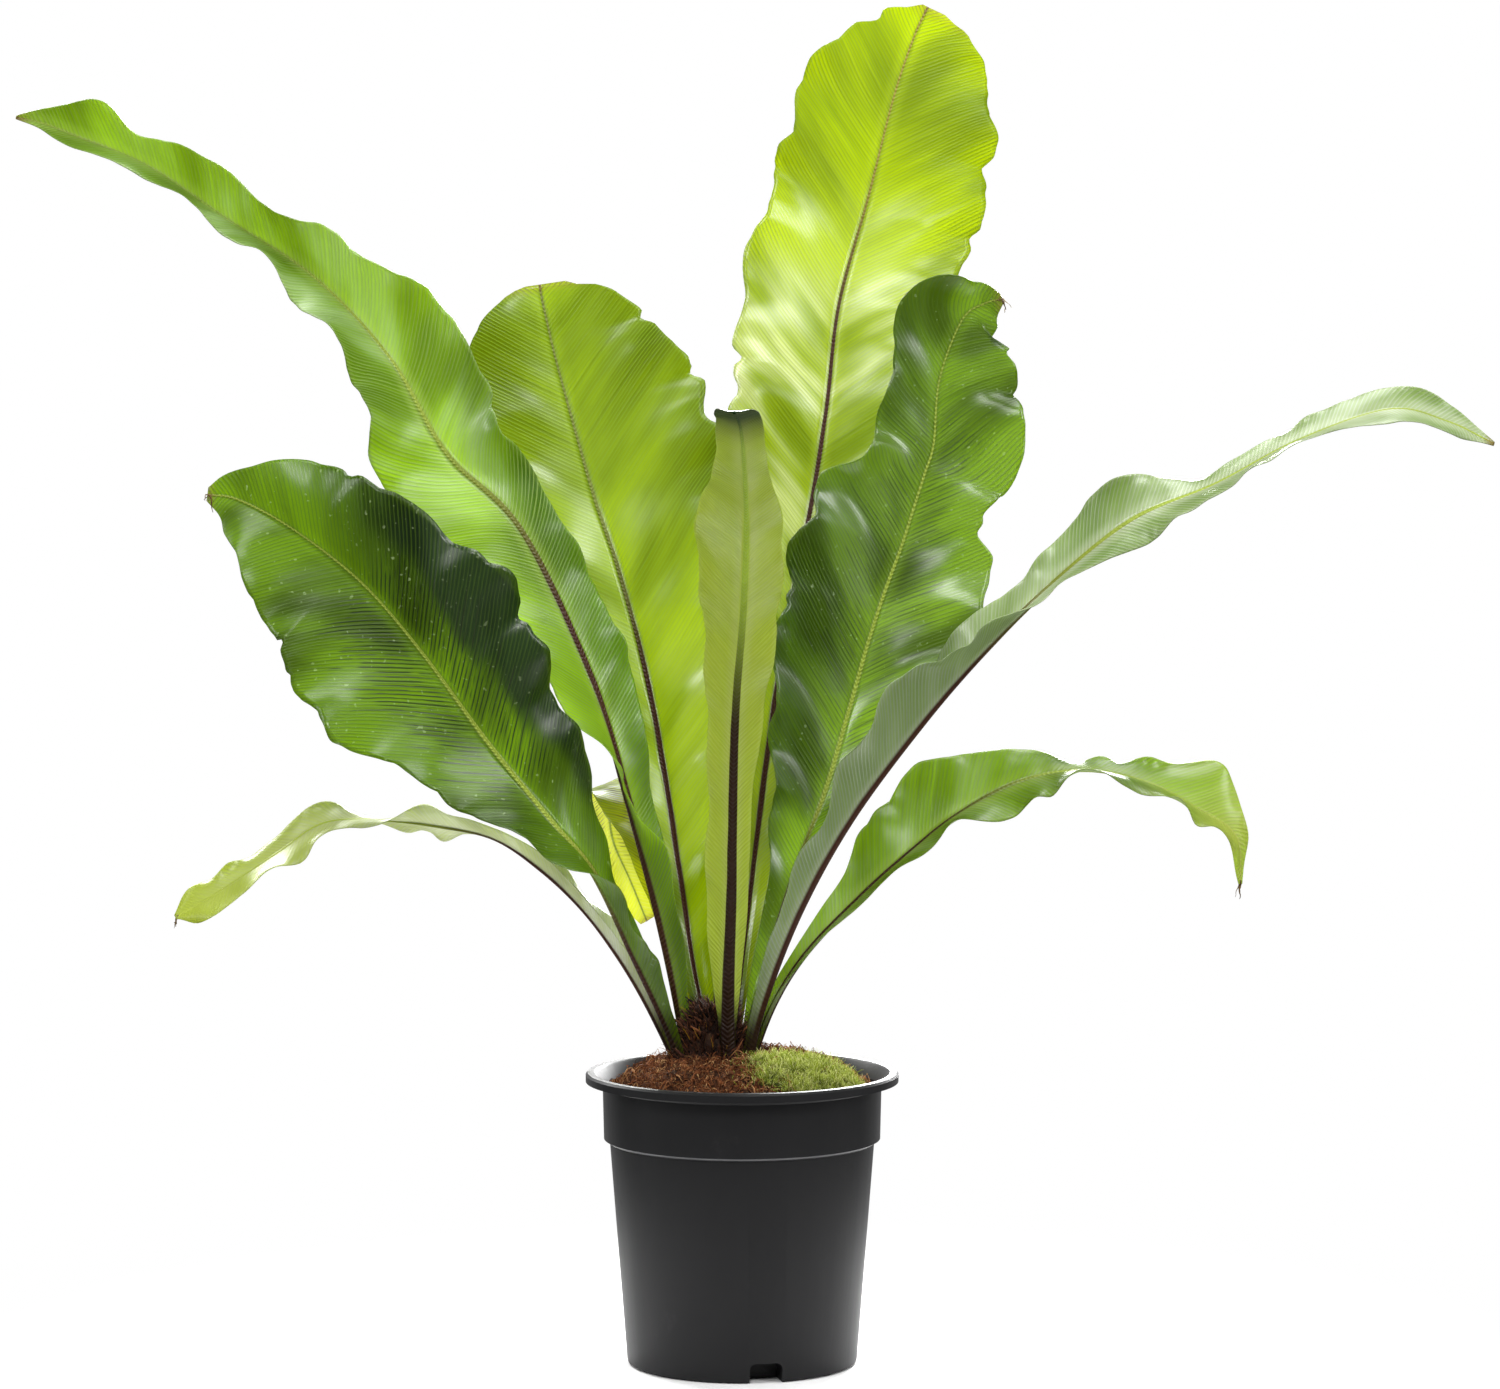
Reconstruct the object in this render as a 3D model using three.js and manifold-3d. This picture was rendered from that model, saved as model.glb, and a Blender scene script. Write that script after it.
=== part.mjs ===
// Potted bird's nest fern: a rosette of wavy, strap-shaped fronds that grow from a scaly crown
// in a mound of coir, in a black nursery pot. Millimetres, Z up, the viewer at -Y.
// The pot's foot stands on z = 0 and its axis is the Z axis.
import * as THREE from "three";
import { ConvexGeometry } from "three/addons/geometries/ConvexGeometry.js";
import { mergeVertices } from "three/addons/utils/BufferGeometryUtils.js";
import Module from "manifold-3d";

const wasm = await Module();
wasm.setup();

// Driving dimensions
const GAP = 0.35; // clearance between pieces that bear on each other
const POT_HEIGHT = 196;
const RIM_RADIUS = 105; // outside of the rolled lip
const MOUTH_RADIUS = 98; // inside of the lip
const FOOT_RADIUS = 77.4;
const BODY_RADIUS = 88.8; // tapered body where it meets the upper band
const BAND_RADIUS = 93.6; // upper band under the lip
const BAND_FOOT = 149; // height of the step below the upper band
const WALL = 1.8;
const FLOOR = 2.4;
const LIP_DROP = 6; // height of the lip's skirt
const POT_SIDES = 48; // facets round the pot and the soil in it

const NOTCH_COUNT = 3;
const NOTCH_WIDTH = 22;
const NOTCH_HEIGHT = 13;
const NOTCH_DEPTH = 19;
const FIRST_NOTCH = -78; // degrees from +X, just right of the front

const SOIL_TOP = 208; // top of the mound beside the crown
const SOIL_DROP = 13; // how far the mound falls to the wall
const SOIL_LEAN = 5; // extra fall towards the left
const SOIL_RINGS = 9;

const CROWN_X = -18; // middle of the crown
const CROWN_Y = 0;

const BLADE = 1.1; // thickness of a blade
const LOBE = 0.05; // how far the margin swings in and out, as a share of the half's width
const ROW_STEP = 16; // spacing of the cross-sections along a frond
const HOLE_SECTIONS = 4; // cross-sections of a stalk that its hole in the crown follows

const materials = {
  pot: new THREE.MeshStandardMaterial({ name: "black_plastic", color: 0x17181a, roughness: 0.45 }),
  soil: new THREE.MeshStandardMaterial({ name: "coir", color: 0x5a3322, roughness: 0.95 }),
  moss: new THREE.MeshStandardMaterial({ name: "moss", color: 0x8a9a4a, roughness: 0.95 }),
  crown: new THREE.MeshStandardMaterial({ name: "crown_scales", color: 0x2c1a12, roughness: 0.9 }),
  leaf: new THREE.MeshStandardMaterial({ name: "leaf", color: 0x5d9416, roughness: 0.4 }),
};

const radians = (degrees) => (degrees * Math.PI) / 180;
const blend = (from, to, amount) => from + (to - from) * amount;
const ease = (value) => {
  const t = Math.min(1, Math.max(0, value));
  return t * t * (3 - 2 * t);
};

// A closed solid from vertices and triangles, and a mesh from a solid
function solidFrom(positions, triangles) {
  return new wasm.Manifold(
    new wasm.Mesh({
      numProp: 3,
      vertProperties: new Float32Array(positions),
      triVerts: new Uint32Array(triangles),
    }),
  );
}

function solidOf(geometry) {
  const bare = new THREE.BufferGeometry();
  bare.setAttribute("position", geometry.getAttribute("position").clone());
  if (geometry.index) bare.setIndex(geometry.index.clone());
  const merged = mergeVertices(bare, 1e-4);
  return solidFrom(merged.attributes.position.array, merged.index.array);
}

function meshOf(name, solid, material) {
  const made = solid.getMesh();
  const geometry = new THREE.BufferGeometry();
  geometry.setAttribute("position", new THREE.BufferAttribute(made.vertProperties, 3));
  geometry.setIndex(new THREE.BufferAttribute(made.triVerts, 1));
  geometry.computeVertexNormals();
  const mesh = new THREE.Mesh(geometry, material);
  mesh.name = name;
  return mesh;
}

const lathe = (profile, sides) =>
  new THREE.LatheGeometry(
    profile.map(([r, z]) => new THREE.Vector2(r, z)),
    sides,
  ).rotateX(Math.PI / 2);

// Pot: a thin wall of revolution with a rolled lip, and drain pockets round the foot
const innerWall = [
  [BAND_RADIUS - WALL - 0.8, BAND_FOOT + 3.4],
  [BODY_RADIUS - WALL, BAND_FOOT + 0.9],
  [FOOT_RADIUS - WALL + 0.2, FLOOR],
];
const potProfile = [
  [0, 0],
  [FOOT_RADIUS - 2.2, 0],
  [FOOT_RADIUS - 0.6, 0.8],
  [FOOT_RADIUS, 2.6],
  [BODY_RADIUS, BAND_FOOT],
  [BAND_RADIUS - 0.8, BAND_FOOT + 2.5],
  [BAND_RADIUS, POT_HEIGHT - 9],
  [MOUTH_RADIUS - 0.8, POT_HEIGHT - 4.2],
  [RIM_RADIUS - 2, POT_HEIGHT - 4],
  [RIM_RADIUS - 1.6, POT_HEIGHT - LIP_DROP],
  [RIM_RADIUS, POT_HEIGHT - LIP_DROP],
  [RIM_RADIUS, POT_HEIGHT - 1.4],
  [RIM_RADIUS - 1.4, POT_HEIGHT],
  [MOUTH_RADIUS + 1.2, POT_HEIGHT],
  [MOUTH_RADIUS - 0.4, POT_HEIGHT - 1.2],
  [BAND_RADIUS - WALL + 0.3, POT_HEIGHT - 9.4],
  ...innerWall,
  [0, FLOOR],
];

// A block with its upper corners cut off, standing on the floor across the foot of the wall
function pocket(grow) {
  const half = NOTCH_WIDTH / 2 + grow;
  const top = NOTCH_HEIGHT + grow;
  const corner = 4;
  const outline = new THREE.Shape([
    new THREE.Vector2(-half, -1),
    new THREE.Vector2(half, -1),
    new THREE.Vector2(half, top - corner),
    new THREE.Vector2(half - corner, top),
    new THREE.Vector2(corner - half, top),
    new THREE.Vector2(-half, top - corner),
  ]);
  const depth = NOTCH_DEPTH + grow + 6;
  return new THREE.ExtrudeGeometry(outline, { depth, bevelEnabled: false })
    .rotateX(Math.PI / 2)
    .rotateZ(Math.PI / 2)
    .translate(FOOT_RADIUS - NOTCH_DEPTH - grow, 0, 0);
}

const notchAngles = Array.from({ length: NOTCH_COUNT }, (_, i) => FIRST_NOTCH + (360 / NOTCH_COUNT) * i);

const ring = (geometry) =>
  wasm.Manifold.union(notchAngles.map((angle) => solidOf(geometry.clone().rotateZ(radians(angle)))));

const potShell = solidOf(lathe(potProfile, POT_SIDES));
const potBody = lathe([[0, 0], [FOOT_RADIUS - 1, 0], [BODY_RADIUS - 1, BAND_FOOT], [0, BAND_FOOT]], POT_SIDES);
const pocketWalls = ring(pocket(WALL)).intersect(solidOf(potBody));
const pot = potShell.add(pocketWalls).subtract(ring(pocket(0)));

// Fronds. Each row is a cross-section: where the midrib is, which way the upper face is turned
// about the midrib, how far the two halves are folded up, and how wide they are.
//   [x, y, z, turn, fold, left half, right half]
// With no turn the upper face looks along `facing`; a turn of 90 faces it to the right-hand side.
const fronds = {
  frond_left_broad: {
    facing: [0, -1, 0],
    rib: 3.2,
    curl: [10, -35],
    wave: [4, 66, 0.4, 4.5],
    across: 2,
    rows: [
      [-37, -8, 192, 90, 40, 3.8, 3.8],
      [-50, -12, 228, 90, 42, 9, 9],
      [-72, -18, 276, 85, 42, 20, 13],
      [-99, -26, 333, 68, 24, 30, 22],
      [-128, -31, 369, 38, 18, 37, 48],
      [-170, -38, 423, 12, 16, 55, 58],
      [-210, -41, 479, -6, 18, 82, 77],
      [-250, -42, 526, -10, 20, 73, 64],
      [-296, -42, 562, -6, 16, 50, 51],
      [-332, -40, 581, 0, 10, 24, 22],
      [-352, -39, 584, 0, 5, 4, 5],
    ],
  },
  frond_left_arching: {
    facing: [0, -1, 0],
    rib: 3.6,
    curl: [0, 10],
    wave: [5, 72, 1.2, 0.2],
    across: 1,
    rows: [
      [-35, 9, 190, 80, 40, 4, 4],
      [-43, 14, 240, 92, 42, 10, 10],
      [-58, 26, 306, 98, 42, 20, 18],
      [-78, 42, 378, 66, 30, 28, 20],
      [-103, 59, 458, 38, 8, 40, 31],
      [-151, 79, 557, 20, 2, 54, 29],
      [-202, 88, 609, 5, 10, 50, 43],
      [-241, 92, 674, 24, 24, 40, 51],
      [-292, 89, 729, 14, 40, 32, 35],
      [-350, 81, 768, 24, 50, 25, 27],
      [-390, 76, 796, 22, 44, 20, 30],
      [-417, 72, 811, 20, 48, 17, 17],
      [-446, 67, 822, 20, 38, 20, 32],
      [-472, 62, 832, 20, 38, 8, 12],
      [-490, 58, 836, 20, 38, 1.6, 1.6],
    ],
  },
  frond_left_twisted: {
    facing: [0, -1, 0],
    rib: 2.2,
    curl: [0, 0],
    wave: [3, 60, 0.5, 2.5],
    across: 1,
    rows: [
      [-40, 2, 193, 90, 40, 3.2, 3.2],
      [-64, 7, 241, 90, 42, 13, 18],
      [-84, 10, 274, 86, 40, 14, 21],
      [-107, 14, 304, 90, 25, 14, 16],
      [-135, 19, 330, 96, 36, 14, 20],
      [-167, 23, 351, 100, 10, 13, 13],
      [-205, 26, 359, 128, 10, 15, 15],
      [-243, 28, 363, 92, 4, 13, 13],
      [-282, 24, 361, 40, 10, 14, 15],
      [-312, 20, 342, 50, 10, 21, 14],
      [-345, 15, 320, 40, 10, 16, 13],
      [-364, 12, 308, 40, 10, 16, 15],
      [-381, 10, 299, 30, 10, 1.5, 1.5],
    ],
  },
  frond_back_left: {
    facing: [0, -1, 0],
    rib: 3.6,
    curl: [0, -10],
    wave: [4, 60, 2.4, 0.9],
    across: 2,
    rows: [
      [-17, 17, 200, 10, 40, 4.4, 4.4],
      [-31, 34, 252, 5, 40, 10, 14],
      [-42, 57, 321, 0, 34, 18, 27],
      [-54, 80, 396, 0, 24, 32, 39],
      [-67, 97, 462, -2, 18, 44, 63],
      [-85, 111, 528, -4, 15, 54, 86],
      [-102, 120, 578, -4, 12, 56, 97],
      [-117, 126, 630, -4, 10, 62, 94],
      [-129, 130, 674, -4, 8, 61, 77],
      [-136, 132, 704, -4, 6, 50, 56],
      [-139, 133, 718, -4, 5, 30, 38],
      [-140, 133, 725, -4, 4, 10, 18],
    ],
  },
  frond_tall: {
    facing: [0, -1, 0],
    rib: 3.6,
    curl: [10, -20],
    wave: [4, 64, 0.1, 1.4],
    across: 2,
    rows: [
      [-6.5, 14, 203, -10, 40, 4.4, 4.4],
      [0, 36, 260, -8, 42, 9, 9],
      [9, 68, 338, -5, 36, 22, 18],
      [21, 104, 428, -4, 28, 40, 34],
      [34, 131, 504, 0, 20, 54, 43],
      [48, 156, 572, 0, 16, 65, 51],
      [59, 178, 640, 0, 14, 71, 61],
      [68, 199, 712, 0, 12, 72, 73],
      [89, 219, 788, 2, 12, 70, 81],
      [107, 236, 858, 4, 12, 67, 74],
      [121, 246, 900, 4, 10, 40, 54],
      [129, 250, 918, 4, 8, 13, 34],
      [132, 251, 924, 4, 8, 4, 14],
    ],
  },
  frond_right_broad: {
    facing: [0, -1, 0],
    rib: 3.0,
    curl: [15, -20],
    wave: [4, 60, 0.9, 2.8],
    across: 2,
    rows: [
      [1, 9, 193, -60, 40, 3.8, 3.8],
      [13, 18, 250, -50, 42, 9, 9],
      [33, 31, 318, -30, 40, 17, 19],
      [56, 42, 380, -14, 28, 41, 27],
      [72, 51, 434, -6, 22, 58, 41],
      [90, 58, 496, 0, 18, 74, 64],
      [108, 64, 546, 0, 16, 74, 64],
      [118, 65, 577, 0, 15, 68, 48],
      [124, 65, 596, 0, 15, 48, 54],
      [130, 66, 616, 0, 14, 44, 61],
      [134, 66, 660, 0, 12, 37, 55],
      [149, 63, 700, 4, 10, 44, 36],
      [164, 60, 711, 4, 8, 20, 20],
      [176, 57, 714, 4, 5, 3, 3],
    ],
  },
  frond_right_arching: {
    facing: [0, -1, 0],
    rib: 3.6,
    curl: [0, 0],
    wave: [4, 70, 2.6, 0.3],
    across: 1,
    rows: [
      [0, -9, 192, -85, 40, 4.4, 4.4],
      [14, -18, 246, -92, 42, 9, 9],
      [38, -28, 308, -95, 42, 14, 18],
      [72, -37, 370, -96, 42, 20, 27],
      [118, -45, 433, -96, 42, 26, 45],
      [159, -50, 481, -84, 38, 27, 34],
      [205, -53, 527, -62, 20, 20, 14],
      [256, -51, 568, -26, 14, 28, 20],
      [311, -45, 591, -66, 16, 11, 18],
      [367, -37, 620, -66, 22, 13, 17],
      [427, -28, 640, -40, 20, 16, 17],
      [466, -23, 632, -36, 16, 12, 12],
      [498, -18, 617, -30, 10, 1.6, 1.6],
    ],
  },
  frond_right_low: {
    facing: [0, -1, 0],
    rib: 2.2,
    curl: [0, 0],
    wave: [4, 56, 0.2, 1.8],
    across: 1,
    rows: [
      [3, -1, 193, -70, 40, 3.2, 3.2],
      [21, 1, 240, -66, 36, 7, 9],
      [43, 4, 275, -56, 32, 9, 12],
      [76, 6, 310, -50, 30, 18, 13],
      [110, 8, 341, -48, 28, 36, 16],
      [144, 10, 368, -46, 28, 41, 20],
      [184, 10, 390, -18, 20, 23, 23],
      [229, 10, 398, -76, 14, 14, 18],
      [272, 8, 390, -56, 22, 19, 20],
      [306, 6, 372, -50, 26, 38, 22],
      [331, 4, 354, -46, 20, 9, 11],
      [334, 4, 322, -40, 10, 1.5, 1.5],
    ],
  },
  frond_front: {
    facing: [0, 1, 0],
    rib: 4.2,
    curl: [0, 0],
    wave: [3, 62, 0.6, 2.2],
    across: 1,
    rows: [
      [-9, -16, 196, 0, 30, 5, 5],
      [-9.5, -21, 228, 0, 32, 6.5, 7],
      [-9, -27, 262, 0, 32, 10, 13],
      [-7, -37, 320, 0, 30, 13, 20],
      [-6, -52, 380, 0, 26, 14, 18],
      [-4, -77, 446, 0, 24, 21, 21],
      [1, -112, 511, 0, 20, 25, 29],
      [3, -160, 563, 0, 18, 24, 34],
      [2, -215, 602, 0, 16, 15, 20],
      [0, -275, 628, 0, 14, 14, 16],
      [-3, -330, 640, 0, 10, 12, 13],
      [-4, -362, 641, 0, 5, 3, 3],
    ],
  },
  frond_back_drooping: {
    facing: [0, -1, 0],
    rib: 2.6,
    curl: [0, 0],
    wave: [3, 56, 1.5, 0.4],
    across: 1,
    rows: [
      [-26, 17, 196, 30, 40, 3.4, 3.4],
      [-42, 42, 255, 20, 36, 8, 8],
      [-56, 72, 318, 10, 26, 16, 16],
      [-72, 106, 362, 5, 16, 22, 22],
      [-86, 145, 380, 0, 10, 25, 25],
      [-94, 182, 368, 0, 8, 26, 26],
      [-93, 210, 334, 0, 8, 25, 27],
      [-80, 228, 300, 0, 6, 19, 22],
      [-69, 238, 271, 0, 4, 5, 7],
    ],
  },
};

// A smooth curve through the rows, one value for each column
function smoothRow(rows, t) {
  const last = rows.length - 1;
  const i = Math.min(Math.floor(t * last), last - 1);
  const u = t * last - i;
  const at = (k, c) => {
    if (k < 0) return 2 * rows[0][c] - rows[1][c];
    if (k > last) return 2 * rows[last][c] - rows[last - 1][c];
    return rows[k][c];
  };
  return rows[0].map((_, c) => {
    const [a, b, d, e] = [at(i - 1, c), at(i, c), at(i + 1, c), at(i + 2, c)];
    return b + 0.5 * u * (d - a + u * (2 * a - 5 * b + 4 * d - e + u * (3 * (b - d) + e - a)));
  });
}

// The cross-sections of a frond, each with its midrib point and the two directions it is drawn in
function sectionsOf(frond) {
  const fine = 400;
  const path = [];
  let length = 0;
  let facing = new THREE.Vector3(...frond.facing);
  for (let i = 0; i <= fine; i++) {
    const [x, y, z, turn, fold, left, right] = smoothRow(frond.rows, i / fine);
    const middle = new THREE.Vector3(x, y, z);
    const ahead = new THREE.Vector3(...smoothRow(frond.rows, Math.min(1, (i + 0.5) / fine)));
    const behind = new THREE.Vector3(...smoothRow(frond.rows, Math.max(0, (i - 0.5) / fine)));
    const along = ahead.sub(behind).normalize();
    facing = facing.clone().addScaledVector(along, -facing.dot(along)).normalize();
    const side = along.clone().cross(facing);
    if (i) length += middle.distanceTo(path[i - 1].middle);
    path.push({ middle, facing, side, turn, fold, left, right, run: length });
  }
  const count = Math.round(length / ROW_STEP);
  const picked = [];
  for (let k = 0, i = 0; k <= count; k++) {
    while (i < fine && path[i].run < (length * k) / count - 1e-6) i++;
    picked.push({ ...path[i], share: path[i].run / length });
  }
  return picked;
}

// Points of one half of a cross-section on the blade's mid surface, from the midrib to the margin
function halfSection(frond, section, hand) {
  const start = section.fold - hand * section.turn;
  const plain = hand < 0 ? section.left : section.right;
  const curl = frond.curl[hand < 0 ? 0 : 1] * ease(plain / 30);
  const [height, length, leftPhase, rightPhase] = frond.wave;
  const swing = (2 * Math.PI * section.run) / length + (hand < 0 ? leftPhase : rightPhase);
  const broad = ease((plain - 6) / 24);
  const ruffle = height * broad * Math.sin(swing);
  const width = plain * (1 + LOBE * broad * Math.cos(swing));
  return (share) => {
    const direction = radians(start + (curl * share) / 2);
    const slope = radians(start + curl * share);
    const point = section.middle
      .clone()
      .addScaledVector(section.side, hand * width * share * Math.cos(direction))
      .addScaledVector(section.facing, width * share * Math.sin(direction));
    const normal = section.facing
      .clone()
      .multiplyScalar(Math.cos(slope))
      .addScaledVector(section.side, -hand * Math.sin(slope));
    point.addScaledVector(normal, ruffle * share * share);
    return { point, normal };
  };
}

// The upper and the lower outline of a cross-section, swollen by `grow`
function outlineOf(frond, section, grow = 0) {
  const rib = frond.rib * blend(1, 0.22, Math.min(1, section.share * 1.15));
  const stalk = 1 - ease(section.share / 0.3);
  const turn = radians(section.turn);
  const crest = section.facing
    .clone()
    .multiplyScalar(Math.cos(turn))
    .addScaledVector(section.side, Math.sin(turn));
  const halfRow = (hand) => {
    const width = hand < 0 ? section.left : section.right;
    const flank = Math.min(0.72, rib / width);
    const at = halfSection(frond, section, hand);
    return Array.from({ length: frond.across + 2 }, (_, k) => {
      const share = blend(flank, 1 + grow / width, k / (frond.across + 1));
      const thick = k === 0 ? blend(BLADE, rib * 1.25, stalk) : BLADE;
      return { ...at(share), up: thick / 2 + grow, down: thick / 2 + grow };
    });
  };
  const up = blend(0.35, 0.75, stalk) * rib + BLADE / 2 + grow;
  const down = 0.92 * rib + BLADE / 2 + grow;
  const row = [...halfRow(-1).reverse(), { point: section.middle, normal: crest, up, down }, ...halfRow(1)];
  return {
    upper: row.map((each) => each.point.clone().addScaledVector(each.normal, each.up)),
    lower: row.map((each) => each.point.clone().addScaledVector(each.normal, -each.down)),
  };
}

// A frond: the cross-sections joined by strips that are split the same way on both faces
function frondSolid(frond) {
  const outlines = sectionsOf(frond).map((section) => outlineOf(frond, section));
  const columns = outlines[0].upper.length;
  const points = outlines.flatMap(({ upper, lower }) => [...upper, ...lower]);
  const upper = (i, j) => i * 2 * columns + j;
  const lower = (i, j) => upper(i, j) + columns;
  const triangles = [];
  const quad = (a, b, c, d) => triangles.push(a, b, c, a, c, d);
  const tip = outlines.length - 1;
  const end = columns - 1;
  for (let i = 0; i < tip; i++) {
    for (let j = 0; j < end; j++) {
      quad(upper(i, j), upper(i, j + 1), upper(i + 1, j + 1), upper(i + 1, j));
      quad(lower(i + 1, j + 1), lower(i, j + 1), lower(i, j), lower(i + 1, j));
    }
    quad(upper(i, 0), upper(i + 1, 0), lower(i + 1, 0), lower(i, 0));
    quad(upper(i, end), lower(i, end), lower(i + 1, end), upper(i + 1, end));
  }
  for (let j = 0; j < end; j++) {
    quad(upper(0, j), lower(0, j), lower(0, j + 1), upper(0, j + 1));
    quad(upper(tip, j), upper(tip, j + 1), lower(tip, j + 1), lower(tip, j));
  }
  return solidFrom(
    points.flatMap((point) => point.toArray()),
    triangles,
  );
}

// The hole that a stalk stands in: its lowest cross-sections, a little larger and without the groove
function sleeve(frond) {
  const rings = sectionsOf(frond)
    .slice(0, HOLE_SECTIONS)
    .map((section) => {
      const { upper, lower } = outlineOf(frond, section, GAP + 0.1);
      return [...upper, ...lower];
    });
  rings[0].push(...rings[0].map((point) => point.clone().setZ(point.z - 2 * GAP)));
  const bays = rings.slice(1).map((row, i) => solidOf(new ConvexGeometry([...rings[i], ...row])));
  return wasm.Manifold.union(bays);
}

// Crown: a scaly lump, uneven by formula, with a plain hole for every stalk
const crownProfile = [
  [0, 176],
  [24, 178],
  [30, 187],
  [31, 197],
  [26, 206],
  [21.5, 212],
  [19.5, 219],
  [16, 227],
  [10, 236],
  [0, 241],
];
function bump(x, y, z) {
  const scales = Math.sin(x * 0.55 + 1.3) * Math.cos(y * 0.6 + z * 0.35);
  return scales + 0.6 * Math.sin(z * 0.8 + x * 0.3 + 2.1) * Math.sin(y * 0.9);
}

function crownSolid(grow) {
  const geometry = lathe(crownProfile, 24);
  const place = geometry.getAttribute("position");
  for (let i = 0; i < place.count; i++) {
    let [x, y, z] = [place.getX(i), place.getY(i), place.getZ(i)];
    const r = Math.hypot(x, y);
    const swell = (r > 1 ? (1.1 * bump(x, y, z) + grow) / r : 0) + 1;
    const lift = ease((z - 200) / 50);
    x = x * swell + CROWN_X - 2 * lift;
    y = y * swell * 0.82 + CROWN_Y + 3 * lift;
    place.setXYZ(i, x, y, z < 180 ? z - grow : z);
  }
  return solidOf(geometry);
}

// Short stubs of fronds that were cut away, at the front of the crown
const stubs = [
  { x: -22, y: -16, top: 224, radius: 2.6 },
  { x: -16.5, y: -18, top: 220, radius: 2.2 },
  { x: -28, y: -13, top: 217, radius: 2.4 },
];
const STUB_FOOT = 200;
const stubSolids = stubs.map(({ x, y, top, radius }) => {
  const post = new THREE.CylinderGeometry(radius, radius * 1.3, top - STUB_FOOT, 7);
  return solidOf(post.rotateX(Math.PI / 2).translate(x, y, (top + STUB_FOOT) / 2));
});
const sleeves = wasm.Manifold.union(Object.values(fronds).map(sleeve));
const largest = (solid) => solid.decompose().sort((a, b) => b.volume() - a.volume())[0];
const crown = largest(wasm.Manifold.union([crownSolid(0), ...stubSolids]).subtract(sleeves));

// Soil: fills the pot and mounds up round the crown
const soilWall = [...innerWall.map(([r, z]) => [r - GAP, z + GAP]), [0, FLOOR + GAP]];
const soilEdge = soilWall[0][0];

function soilHeight(x, y) {
  const reach = Math.hypot(x, y) / soilEdge;
  const lean = Math.max(0, -x / soilEdge);
  const coarse = 1.3 * Math.sin(x * 0.31 + 0.7) * Math.sin(y * 0.37 + 1.9);
  const crumbs = coarse + 0.8 * Math.sin(x * 0.73 + y * 0.51);
  const mound = SOIL_TOP - SOIL_DROP * reach ** 2.4 - SOIL_LEAN * lean ** 2;
  return mound + crumbs * ease((reach - 0.2) / 0.2);
}

const soilProfile = [];
for (let k = 0; k <= SOIL_RINGS; k++) soilProfile.push([(soilEdge * k) / SOIL_RINGS, POT_HEIGHT]);
const soilGeometry = lathe([...soilProfile, ...soilWall].reverse(), POT_SIDES);
const soilPlace = soilGeometry.getAttribute("position");
for (let i = 0; i < soilPlace.count; i++) {
  if (soilPlace.getZ(i) < POT_HEIGHT - 1) continue;
  soilPlace.setZ(i, soilHeight(soilPlace.getX(i), soilPlace.getY(i)));
}
const soilHollows = wasm.Manifold.union([crownSolid(GAP + 0.2), sleeves, ring(pocket(WALL + GAP))]);
const soil = solidOf(soilGeometry).subtract(soilHollows);

// Moss: a low cushion on the coir at the front right, cut off where it comes to the pot's wall
const MOSS_X = 50;
const MOSS_Y = -46;
const MOSS_LONG = 43;
const MOSS_WIDE = 38;
const MOSS_THICK = 5;
const mossGeometry = lathe([[0, 0], [0.55, 0], [0.97, 0], [1, 0.25], [0.8, 0.8], [0, 1]], 24);
const mossPlace = mossGeometry.getAttribute("position");
for (let i = 0; i < mossPlace.count; i++) {
  const [u, v, w] = [mossPlace.getX(i), mossPlace.getY(i), mossPlace.getZ(i)];
  const angle = Math.atan2(v, u);
  const ragged = 1 + 0.1 * Math.sin(5 * angle + 1) + 0.06 * Math.sin(9 * angle);
  const x = MOSS_X + MOSS_LONG * u * ragged;
  const y = MOSS_Y + MOSS_WIDE * v * ragged;
  const tuft = 1 + 0.25 * Math.sin(x * 0.5) * Math.cos(y * 0.6);
  mossPlace.setXYZ(i, x, y, soilHeight(x, y) + 0.5 + w * MOSS_THICK * tuft);
}
const mossRoom = new THREE.CylinderGeometry(soilEdge - 1, soilEdge - 1, 4 * POT_HEIGHT, 2 * POT_SIDES);
const moss = solidOf(mossGeometry)
  .intersect(solidOf(mossRoom.rotateX(Math.PI / 2)))
  .subtract(soil.translate(0, 0, GAP));

const group = new THREE.Group();
group.name = "potted_birds_nest_fern";
group.add(meshOf("pot", pot, materials.pot));
group.add(meshOf("soil", soil, materials.soil));
group.add(meshOf("moss", moss, materials.moss));
group.add(meshOf("crown", crown, materials.crown));
for (const [name, frond] of Object.entries(fronds)) {
  group.add(meshOf(name, frondSolid(frond), materials.leaf.clone()));
}

export default group;
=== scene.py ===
# %% [markdown]
# # A potted bird's nest fern
# The plant is a rosette of ten wavy, strap-shaped fronds. They grow from a scaly brown crown
# that sits in a mound of coir, with a cushion of moss, in a black nursery pot.
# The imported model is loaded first. It fixes where every piece is, in metres, and each piece made
# below takes the place of the plain solid of the same name.

# %% Load the frame
import math
import random

import bmesh
import bpy
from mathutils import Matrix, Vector, noise


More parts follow.
